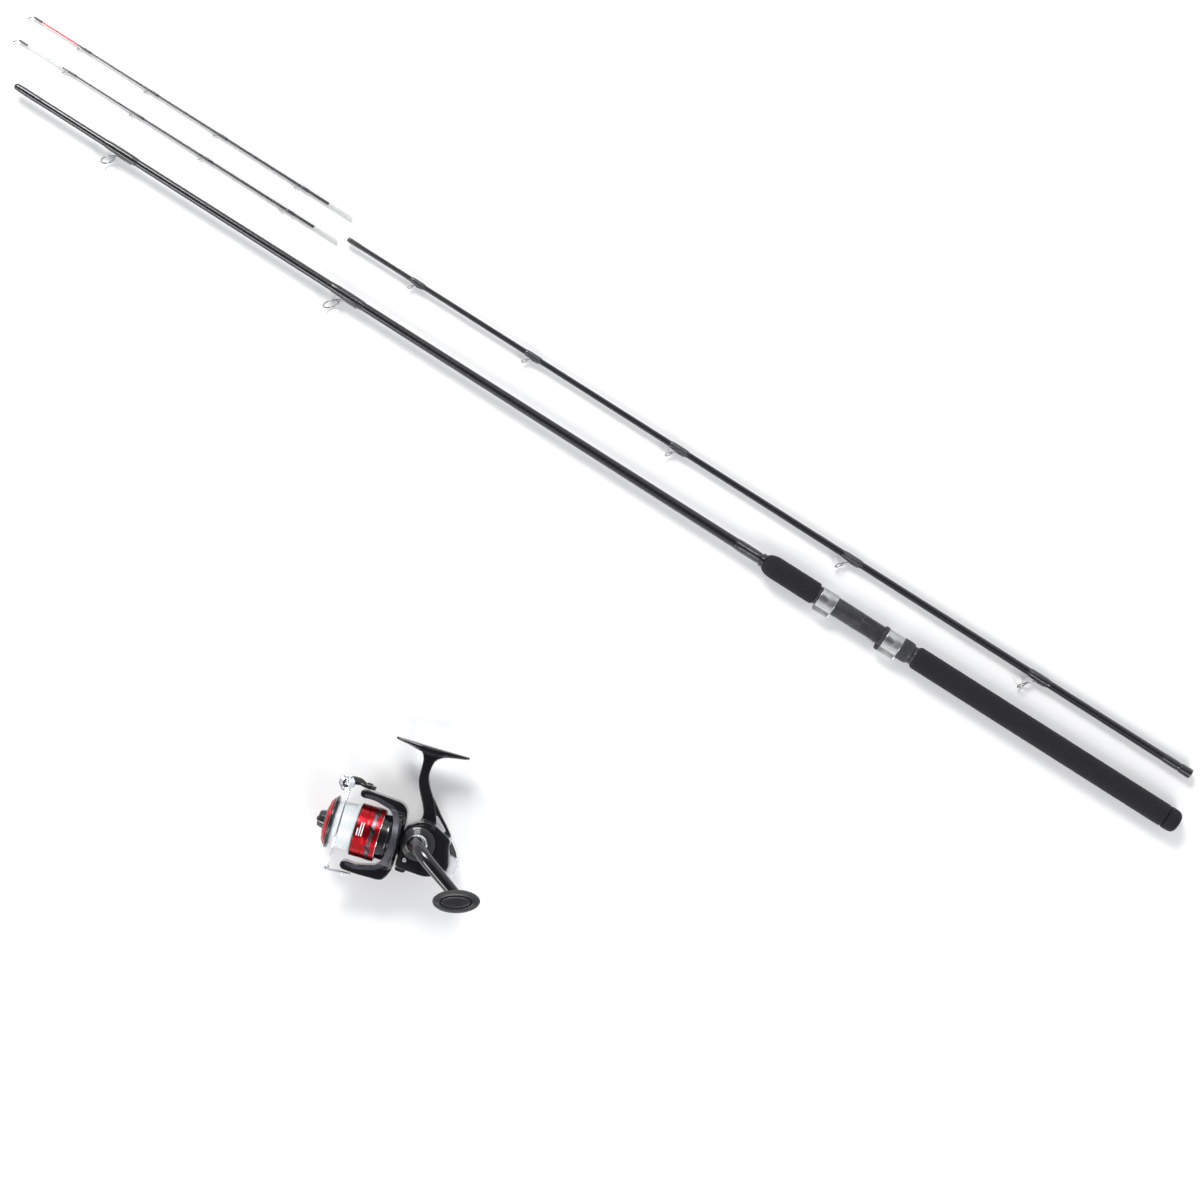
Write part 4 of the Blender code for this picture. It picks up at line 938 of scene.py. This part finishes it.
def covers():
    """Stepped bearing cover, screws, rear trim and its translucent back."""
    rings = [(17.3, 5.2), (17.3, 15.1), (18.9, 15.1), (19.5, 14.4), (19.9, 13.6), (20.3, 13.5), (20.4, 12.9),
             (20.9, 12.4), (21.1, 12.0), (21.3, 11.9), (21.4, 11.2), (21.7, 10.9), (21.9, 10.2), (22.2, 9.9),
             (22.4, 9.3), (22.4, 5.2)]
    stepped = at_crank(lathe(rounded(rings, 0.25, 3), 96, closed=True))
    reel_piece("side_cover_stepped", stepped, "gloss_black", "reel_body", "side_cover")
    for number, (x, z, look) in enumerate(((7.4, -12.5, "screw_steel"), (-9.0, 21.0, "satin_black")), 1):
        head = turned([(17.1, 0.1), (17.1, 1.95), (18.0, 1.95), (18.6, 1.2), (18.65, 0.1)], 0.3, 3, 36)
        made = reel_piece(f"cover_screw_{number}_head", across(head, x, z), look, "reel_body",
                          f"cover_screw_{number}")
        slant = Matrix.Rotation(math.radians(30), 3, "Y")
        slots = [placed(slot_cutter(long, wide, 18.1, 19.4), slant, (x, 0, z))
                 for long, wide in ((1.2, 0.24), (0.24, 1.2))]
        carved(made, *slots)
    outline = [(-28.9, 2.4), (-36.8, 0.5), (-39.4, -5.7), (-37.9, -8.7), (-37.6, -11.5), (-36.0, -15.0),
               (-35.2, -17.6), (-33.7, -20.2), (-30.0, -21.3), (-26.3, -18.4), (-31.3, -11.8), (-31.7, -7.4)]
    parts = []
    for half, share in ((12.5, 0.0), (10.6, 0.35), (8.4, 0.6)):
        grown = [(x - share if x < -33 else x, z) for x, z in outline]
        parts.append(slab(grown, 1.6, 3, -half, half, 1.3, 4))
    made = reel_piece("rear_cover_clear", joined(*parts), "clear", "reel_body", "rear_cover")
    moulded(made, 0.4, 3)
    trim = [(-27.4, 14.6), (-26.9, 9.3), (-29.0, 3.2), (-36.4, 1.3), (-34.0, 6.4)]
    reel_piece("rear_trim_polished", slab(trim, 0.9, 3, -11.0, 11.0, 1.8, 3), "chrome", "reel_body",
               "rear_trim")
    lever = [(5.0, -22.0), (12.4, -21.5), (14.3, -22.5), (13.4, -25.0), (6.2, -25.4), (4.4, -23.6)]
    reel_piece("anti_reverse_lever_moulded", slab(lever, 1.0, 3, -3.6, 3.6, 0.8, 4), "satin_black",
               "reel_lever", "anti_reverse_lever")


def rim_at(z):
    """The yoke's front rim: its place along the spool axis by distance from its middle."""
    away = abs(z)
    for (low, low_place), (high, high_place) in zip(YOKE_RIM, YOKE_RIM[1:]):
        if away <= high:
            return mixed(low_place, high_place, (away - low) / (high - low))
    return YOKE_RIM[-1][1]


def rotor():
    """The rotor: bowl and two arms under one saddle-shaped shell, with a glitter strip along it."""
    bowl = turned([(25.5, 3.3), (25.5, 18.3), (42.0, 18.3), (42.0, 20.3), (27.0, 20.3), (24.6, 26.4),
                   (22.8, 27.5), (18.2, 25.4), (15.7, 20.0), (15.7, 3.3)], 1.4, 4, 96)
    wall = [(step / 12, SHELL_RADIUS) for step in range(13)]
    wall += [(1 - step / 12, SHELL_INSIDE) for step in range(13)]
    flat_points, shell_faces = lathe(wall, 120, closed=True)
    shell_points = [Vector((mixed(SHELL_BACK, rim_at(point.z), point.x), *point[1:]))
                    for point in flat_points]
    arms = slab(ROTOR_SIDE, 5.0, 4, -ARM_HALF_WIDTH, ARM_HALF_WIDTH, 2.6, 5)
    made = reel_piece("rotor_moulded", joined(bowl, (shell_points, shell_faces), arms), "gloss_black",
                      "rotor_body", "rotor")
    moulded(made, 0.5, 6)
    carved(made, lathe([(10.0, 3.1), (30.0, 3.1)], 32))
    reel_piece("rotor_glitter_strip", glitter_strip(), "sparkle", "rotor_body")


def glitter_strip():
    """A band that follows the rotor's shell from arm to arm, widest in the middle."""
    half_line = [(57.0, 31.0, 0), (48.0, 31.6, 0), (38.0, 29.2, 0), (30.2, 26.6, 0), (25.0, 21.0, 0),
                 (22.2, 11.0, 0)]
    mirrored = [(x, -y, 0) for x, y, _ in half_line[::-1]]
    centre_line = curved(half_line + [(21.2, 0.0, 0)] + mirrored, 8)
    points = []
    count = len(centre_line)
    for index, place in enumerate(centre_line):
        along = (centre_line[min(index + 1, count - 1)] - centre_line[max(index - 1, 0)]).normalized()
        out = Vector((-along.y, along.x, 0))
        half = 1.3 + 1.2 * math.sin(math.pi * index / (count - 1)) ** 0.7
        lanes = [place + out * (half * lane / 3) for lane in range(-3, 4)]
        for depth, order in ((0.42, lanes), (-0.9, lanes[::-1])):
            for edge in order:
                surface = max(ARM_HALF_WIDTH, math.sqrt(max(SHELL_RADIUS ** 2 - edge.y ** 2, 0)))
                points.append(Vector((edge.x, surface + depth, edge.y)))
    return points, skin(count, STRIP_SIDES, tube=True)


def at_roller(part):
    """A part stood on the line roller's axis."""
    return across(part, ROLLER_X, ROLLER_Z)


def arc(x, z, radius, start, stop, pitch):
    """Points on an arc, with angles in whole degrees."""
    angles = [math.radians(degrees) for degrees in range(start, stop, pitch)]
    return [(x + radius * math.cos(angle), z + radius * math.sin(angle)) for angle in angles]


def bail():
    """Bail arm, cone, line roller, wire, its far holder and the two pivot screws."""
    boss = placed(turned([(37.1, 0.4), (37.1, 6.2), (40.6, 6.2), (40.6, 0.4)], 0.6, 4, 48), ALONG_Z,
                  (BAIL_X, 0, 0))
    route = curved([(59.8, 1.7, 39.3), (62.8, 2.9, 40.6), (65.5, 3.8, 41.2), (70.5, 6.3, 40.8),
                    (74.0, 8.2, 38.8)], 8)
    shares = [index / 32 for index in range(len(route))]
    link = sweep(route, [(2.5 + 1.9 * share, 2.2 + 2.0 * share) for share in shares], 24)
    end = at_roller(turned([(8.4, 0.4), (8.4, 4.6), (12.2, 4.6), (12.2, 0.4)], 0.7, 4, 40))
    made = reel_piece("bail_arm_moulded", joined(boss, link, end), "gloss_black", "bail",
                      "bail_arm")
    moulded(made, 0.35, 4)
    roller = rounded([(12.6, 1.2), (12.6, 4.0), (13.3, 3.9), (15.0, 2.9), (16.7, 3.9), (17.4, 4.0),
                      (17.4, 1.2)], 0.5, 4)
    reel_piece("line_roller_polished", at_roller(lathe(roller, 48, closed=True)), "screw_steel", "roller",
               "line_roller")
    cone = turned([(17.8, 0.2), (17.8, 3.4), (18.3, 6.2), (19.2, 7.2), (20.3, 7.2), (20.8, 6.7), (20.3, 5.8),
                   (19.3, 4.2), (18.9, 2.0), (19.2, 1.5), (20.9, 1.3), (21.3, 0.9), (21.4, 0.1)], 0.5, 4, 72)
    reel_piece("bail_cone_polished", at_roller(cone), "chrome", "bail", "roller_cone")
    wire = curved([WIRE_END, (70.8, 31.0, 37.2), (69.8, 38.4, 24.0), (69.6, 41.8, 4.0),
                   (69.6, 39.2, -16.0), (70.2, 30.4, -29.0), (71.2, 20.0, -35.4), (71.7, 12.4, -37.4)], 10)
    shares = [index / (len(wire) - 1) for index in range(len(wire))]
    sizes = [(1.0 + 0.75 * max(1 - share * 3.6, 0) + 0.5 * max(share * 4 - 3, 0), 0.95) for share in shares]
    ends = [round_ended([wire[0], wire[1]], 0.95, 20), round_ended([wire[-2], wire[-1]], 0.95, 20)]
    along_x = (1, 0, 0)
    ear = sweep(curved([(74.6, 18.6, 41.4), (73.4, 21.4, 42.7), WIRE_END], 6), [(1.9, 0.9)], 24, along_x)
    reel_piece("bail_wire_polished", joined(sweep(wire, sizes, 28, along_x), ear, *ends), "chrome", "bail",
               "bail_wire")
    outline = arc(BAIL_X, 0, 6.0, 120, 331, 15) + arc(71.7, 12.2, 3.0, -40, 131, 17)
    holder = placed(prism(outline, -41.2, -38.9, 0.7, 4), SWAP_YZ)
    hub = turned([(-41.0, 0.2), (-41.0, 2.5), (-37.2, 2.5), (-36.4, 1.7), (-36.4, 0.2)], 0.5, 4, 32)
    holder_end = placed(hub, ALONG_Z, (*HOLDER_END, 0))
    reel_piece("bail_holder_polished", joined(holder, holder_end), "chrome", "bail", "bail_holder")
    for number, (low, look) in enumerate(((40.9, "satin_black"), (-42.7, "chrome")), 1):
        start, top = (low, low + 1.2) if low > 0 else (low + 1.2, low)
        dome = turned([(start, 0.1), (start, 3.0), (mixed(start, top, 0.6), 3.0), (top, 2.2), (top, 0.1)],
                      0.4, 4, 40)
        head = placed(dome, ALONG_Z, (BAIL_X, 0, 0))
        made = reel_piece(f"bail_pivot_screw_{number}_head", head, look, "rotor_body",
                          f"bail_pivot_screw_{number}")
        carved(made, placed(slot_cutter(2.6, 0.35, top - 0.45, top + 0.6), SWAP_YZ, (BAIL_X, 0, 0)))


def spool():
    """Spool: lipped core, wound line, anodised skirt with its bands and slots, and the front rings."""
    core = ring([(76.2, 11.7), (80.6, 11.7), (80.6, 22.4), (79.8, 23.9), (78.4, 23.9), (77.0, 22.6),
                 (77.0, 16.5), (44.6, 16.5), (44.6, 1.95), (76.2, 1.95)], 0.7, 4, 96)
    reel_piece("spool_core_turned", core, "gloss_black", "spool", "spool_core")
    turns = 34
    wound = []
    for step in range(turns * 6 + 1):
        share = step / (turns * 6)
        bulge = 0.45 * math.sin(math.pi * share)
        wound.append((mixed(*WOUND_ENDS, share),
                      mixed(*WOUND_RADII, share) + bulge * 0.4 + 0.05 * math.cos(TURN * share * turns)))
    wound = [(WOUND_ENDS[0], WOUND_CORE)] + wound + [(WOUND_ENDS[1], WOUND_CORE)]

    def crossing(x, flat, angle):
        """Lays of line cross at a slant, so the winding waves a little round the spool."""
        if flat < 17:
            return flat
        return flat + 0.02 * math.sin(angle * 3 + x * 0.5) + 0.015 * math.sin(angle * 2 - x * 0.7)
    reel_piece("wound_line_turns", lathe(wound, 160, True, crossing), "line", "spool", "wound_line")
    outside = [(57.2, 16.8), (57.2, 22.8), (56.6, 23.6), (56.2, 23.7), (48.1, 23.7), (47.9, 23.35),
               (47.5, 23.35), (47.3, 23.7), (43.3, 23.7), (43.1, 23.0), (40.1, 23.0), (39.9, 23.7),
               (35.6, 23.7), (35.2, 23.5), (34.7, 23.2), (34.7, 22.5), (55.4, 22.5), (55.4, 16.8)]
    skirt = ring(outside, 0.12, 3, 128)
    reel_piece("spool_skirt_anodised", skirt, "red", "spool", "spool_skirt")
    band = lathe([(43.05, 22.9), (43.05, 23.12), (40.15, 23.12), (40.15, 22.9)], 128, True)
    reel_piece("skirt_grey_band", band, "grey_band", "spool")
    for name, low, high, look in (("skirt_front_edge", 56.1, 57.25, "gloss_black"),
                                  ("skirt_rear_edge", 34.65, 35.5, "chrome")):
        edge = ring([(low, 22.6), (low, 23.78), (high - 0.4, 23.78), (high, 23.0), (high, 22.6)],
                    0.2, 3, 128)
        reel_piece(name, edge, look, "spool")
    parts = [skirt_slot(TURN * number / 8 + math.radians(12)) for number in range(8)]
    reel_piece("skirt_slots", joined(*parts), "gloss_black", "spool")
    marks = [skirt_mark(*sizes) for sizes in
             ((49.3, 50.3, 8, 30), (51.4, 52.4, 8, 30), (53.5, 54.5, 1, 16))]
    reel_piece("skirt_printed_bars", joined(*marks), "mark", "spool")
    front = ring([(80.9, 14.9), (80.9, 21.5), (81.4, 21.5), (84.0, 18.3), (84.0, 14.9)], 0.35, 4, 112)
    reel_piece("spool_front_ring_anodised", front, "red", "spool", "spool_front_ring")
    disc = ring([(80.9, 9.8), (80.9, 14.6), (84.2, 14.6), (85.2, 13.0), (85.2, 9.8)], 0.4, 4, 96)
    reel_piece("spool_front_disc_turned", disc, "gloss_black", "spool", "spool_front_disc")


def on_skirt(x, angle, radius):
    """A point on a cylinder round the spool axis; angle 0 faces up."""
    return Vector((x, radius * math.cos(angle), radius * math.sin(angle)))


def skirt_slot(middle):
    """A slanted, round-ended slot mark across the skirt's grey band."""
    points = []
    count = 24
    for radius in (23.1, 23.84):
        for step in range(count):
            corner = powered(TURN * step / count, MARK_POWER)
            along, beside = (half * part for half, part in zip(SLOT_HALF, corner))
            x = SLOT_X + along * SLOT_SLANT[0] + beside * SLOT_SLANT[1]
            around = along * SLOT_SLANT[1] - beside * SLOT_SLANT[0]
            points.append(on_skirt(x, middle + around / 23.5, radius))
    return points, skin(2, count, tube=True)


def skirt_mark(low, high, middle_degrees, width_degrees):
    """A printed bar that follows the skirt."""
    points, faces = [], []
    count = 8
    for radius in (23.6, 23.76):
        for x in (low, high):
            for step in range(count + 1):
                angle = math.radians(middle_degrees + width_degrees * (step / count - 0.5))
                points.append(on_skirt(x, angle, radius))
    row = count + 1
    for step in range(count):
        for base, other in ((0, row), (2 * row, 3 * row), (0, 2 * row), (row, 3 * row)):
            faces.append([base + step, base + step + 1, other + step + 1, other + step])
    faces.append([0, row, 3 * row, 2 * row])
    faces.append([count, row + count, 3 * row + count, 2 * row + count])
    return points, faces


def drag_knob():
    """The drag knob: a domed cap with a raised bar, fluted round its skirt."""
    outer = rounded([(89.0, 0.1), (89.0, 1.95), (80.9, 1.95), (80.9, 9.3), (83.0, 9.3), (89.8, 7.5),
                     (91.0, 6.9), (91.6, 5.2), (91.8, 0.1)], 0.6, 4)

    def flutes(x, flat, angle):
        """Eight shallow grooves round the knob's skirt."""
        if flat < 6.8 or x < 81.6 or x > 90.4:
            return flat
        return flat - 0.32 * (0.5 + 0.5 * math.cos(angle * 8)) ** 3
    body = lathe(outer, 144, radius_at=flutes)
    outline = [(-6.2, -1.9), (6.2, -1.9), (6.2, 1.9), (-6.2, 1.9)]
    bar = placed(slab(outline, 1.4, 4, 90.0, 92.5, 0.7, 4), SWAP_XY)
    reel_piece("drag_knob_moulded", joined(body, bar), "gloss_black", "drag_cap", "drag_knob")


def crank():
    """Crank: polished collar, bent tapering arm with its end hub, spindle, and the T-shaped knob."""
    collar = rounded([(22.8, 2.7), (22.8, 9.0), (24.6, 9.0), (25.6, 8.5), (26.4, 7.4), (26.4, 2.7)], 0.4, 3)

    def flats(x, flat, angle):
        """Three flats cut into the collar's outer end."""
        if flat < 7 or x < 24.4:
            return flat
        return min(flat, 8.0 / max(math.cos((angle % (TURN / 3)) - TURN / 6), 0.5))
    reel_piece("handle_collar_polished", at_crank(lathe(collar, 96, True, flats)), "chrome", "crank",
               "handle_collar")
    centre = Vector((0, 0, CRANK_Z))
    stations = ((0, 26.9), (0.2, 34.0), (5.0, 42.2), (15.5, 48.4), (36, 51.6), (CRANK_REACH, 54))
    route = curved([centre + CRANK_DIRECTION * reach + Vector((0, height, 0))
                    for reach, height in stations], 9)
    count = len(route)
    base = Vector((1.3, 0, -0.3))
    route = [place + base * max(1 - index / 14, 0) for index, place in enumerate(route)]
    radii = [(mixed(7.3, 5.2, index / (count - 1)) + 0.9 * max(1 - index / 12, 0),
              mixed(7.0, 4.5, index / (count - 1)) + 0.9 * max(1 - index / 12, 0)) for index in range(count)]
    arm = sweep(route, radii, 40, CRANK_DIRECTION.cross(Vector((0, 1, 0))))
    knob_centre = centre + CRANK_DIRECTION * CRANK_REACH
    hub = turned([(48.2, 0.3), (48.2, 6.3), (59.0, 6.6), (60.0, 6.0), (60.0, 0.3)], 1.6, 5, 48)
    whole = joined(arm, across(hub, knob_centre.x, knob_centre.z))
    made = reel_piece("handle_arm_moulded", whole, "gloss_black", "crank", "handle_arm")
    moulded(made, 0.4, 5)
    spindle = turned([(60.3, 0.1), (60.3, 5.2), (62.0, 5.2), (63.6, 4.8), (64.0, 4.4), (64.0, 2.2),
                      (80.0, 2.2), (80.0, 0.1)], 0.3, 3, 48)
    reel_piece("knob_spindle_turned", across(spindle, knob_centre.x, knob_centre.z), "satin_black", "crank",
               "knob_spindle")
    crank_knob(knob_centre)


def crank_knob(at):
    """The knob, a long oval that widens outwards, and the inset in its face."""
    knob_turn = Matrix.Rotation(-math.atan2(*KNOB_LONG_WAY), 3, "Y")
    outside = ((64.4, 5.3, 5.2), (66.5, 5.6, 5.4), (69.0, 7.0, 5.8), (71.2, 10.5, 6.4), (73.4, 15.0, 7.5),
               (75.4, 18.2, 8.7), (77.4, 20.0, 9.6), (79.2, 20.5, 10.0), (81.2, 20.3, 9.9), (83.0, 19.3, 9.3),
               (84.6, 17.7, 8.2), (85.6, 16.2, 7.2), (86.2, 14.9, 6.3), (86.4, 13.9, 5.6))
    dense = through(outside, outside[0], outside[-1], 4)
    bore = [(64.4, 2.5, 2.5), (80.3, 2.5, 2.5), (80.4, 0.2, 0.2)]
    recess = [(86.1, 13.3, 5.3), (85.7, 13.2, 5.2), (85.7, 0.2, 0.2)]
    knob = ovals(bore[::-1] + dense + recess, 72)
    reel_piece("handle_knob_moulded", placed(knob, knob_turn, at), "satin_black", "crank_knob",
               "handle_knob", 50)
    face = ovals([(85.8, 12.4, 4.8), (87.2, 12.6, 4.9), (87.8, 12.3, 4.6), (88.1, 11.6, 4.0),
                  (88.25, 8.0, 2.6), (88.3, 0.3, 0.1)], 72)
    reel_piece("knob_cap_inset", placed(face, knob_turn, at), "satin_black", "crank_knob",
               "knob_cap")


def carried_over():
    """CAD nodes inside the reel that keep their own shape."""
    looks = {"shaft": ("bearing_left", "bearing_right", "pinion_bearing", "drive_shaft", "main_shaft",
                       "roller_pin", "drag_plate"),
             "gear": ("drive_gear", "oscillation_slider"),
             "brass": ("pinion_gear", "rotor_nut"),
             "felt": ("drag_washer",)}
    for look, nodes in looks.items():
        for node in nodes:
            carry(node, look)


def reel():
    """The whole reel."""
    gearbox()
    covers()
    rotor()
    bail()
    spool()
    drag_knob()
    crank()
    carried_over()


# ---------------------------------------------------------------- floor, light and camera

VIEW_CENTRE = Vector((0.0844, 0.0802, 0.01))
FRAME_WIDTH = 1.068
CAMERA_HEIGHT = 2.4
FLOOR_RADIUS = 9.0
GLOW_START = 1.3
GLOW_FULL = 3.6
GLOW_STRENGTH = 0.42
FLOOR_Z = -0.0004
SKY = (0.92, 0.94, 0.97)
SENSOR = 36.0
CAMERA_ROLL = math.atan2(0.536, 0.844)


def add_floor():
    """A pale plain round floor; it glows faintly far out, where the lights no longer reach it."""
    look = new_look("floor_paper", (0.86, 0.86, 0.86), 0.75, Emission_Color=(*SKY, 1.0))
    vary_colour(look, noise(look, 40), (0.855, 0.855, 0.855), (0.865, 0.865, 0.865))
    distance = add(look, "ShaderNodeVectorMath")
    distance.operation = "LENGTH"
    glow = add(look, "ShaderNodeMapRange", From_Min=GLOW_START, From_Max=GLOW_FULL, To_Max=GLOW_STRENGTH)
    wire_up(look, coordinates(look), distance.inputs[0])
    wire_up(look, distance.outputs["Value"], glow.inputs["Value"])
    wire_up(look, glow.outputs["Result"], shader_of(look).inputs["Emission Strength"])
    mesh = bpy.data.meshes.new("floor")
    shape = bmesh.new()
    bmesh.ops.create_circle(shape, cap_ends=True, segments=128, radius=FLOOR_RADIUS)
    shape.to_mesh(mesh)
    shape.free()
    mesh.materials.append(look)
    floor = in_scene("floor", mesh)
    floor.location.z = FLOOR_Z


def add_light(name, place, target, size, power):
    """A soft area light aimed at a point."""
    lamp = bpy.data.lights.new(name, "AREA")
    lamp.shape = "RECTANGLE"
    lamp.size, lamp.size_y = size
    lamp.energy = power
    made = in_scene(name, lamp)
    made.location = place
    made.rotation_euler = (Vector(target) - Vector(place)).to_track_quat("-Z", "Y").to_euler()


def add_world():
    """Pale all round the horizon and dim overhead, so that flat gloss black stays black from above."""
    world = bpy.data.worlds.new("studio")
    world.use_nodes = True
    background = world.node_tree.nodes["Background"]
    split = add(world, "ShaderNodeSeparateXYZ")
    ramp = add_ramp(world, 0.55, SKY, 0.93, (0.10, 0.10, 0.11))
    wire_up(world, add(world, "ShaderNodeTexCoord").outputs["Generated"], split.inputs["Vector"])
    wire_up(world, split.outputs["Z"], ramp.inputs["Fac"])
    wire_up(world, ramp.outputs["Color"], background.inputs["Color"])
    set_inputs(background, {"Strength": 0.85})
    bpy.context.scene.world = world
    bpy.context.scene.view_settings.view_transform = "Standard"


def add_camera():
    """The catalogue view: straight down, rolled so that the rods run down to the right."""
    data = bpy.data.cameras.new("catalogue_view")
    data.sensor_width = SENSOR
    data.lens = SENSOR * (CAMERA_HEIGHT - VIEW_CENTRE.z) / FRAME_WIDTH
    data.dof.use_dof = False
    camera = in_scene("catalogue_view", data)
    camera.location = (VIEW_CENTRE.x, VIEW_CENTRE.y, CAMERA_HEIGHT)
    camera.rotation_euler = (0, 0, CAMERA_ROLL)
    bpy.context.scene.camera = camera


def main():
    """Every piece, then the stage."""
    rod_blank()
    rod_grips()
    rod_seat()
    tip_section()
    quiver("white_quiver_tip", "white_quiver", "white_paint")
    quiver("red_quiver_tip", "red_quiver", "red_paint")
    reel()
    add_world()
    add_floor()
    add_light("key", (-1.7, 1.9, 2.3), (0.0, 0.0, 0.0), (1.5, 1.1), 100)
    add_light("fill", (2.3, -1.3, 2.1), (0.1, 0.0, 0.0), (1.1, 1.5), 48)
    add_light("front", (-1.2, -2.3, 1.8), (0.1, -0.1, 0.0), (1.3, 0.8), 30)
    add_camera()


main()
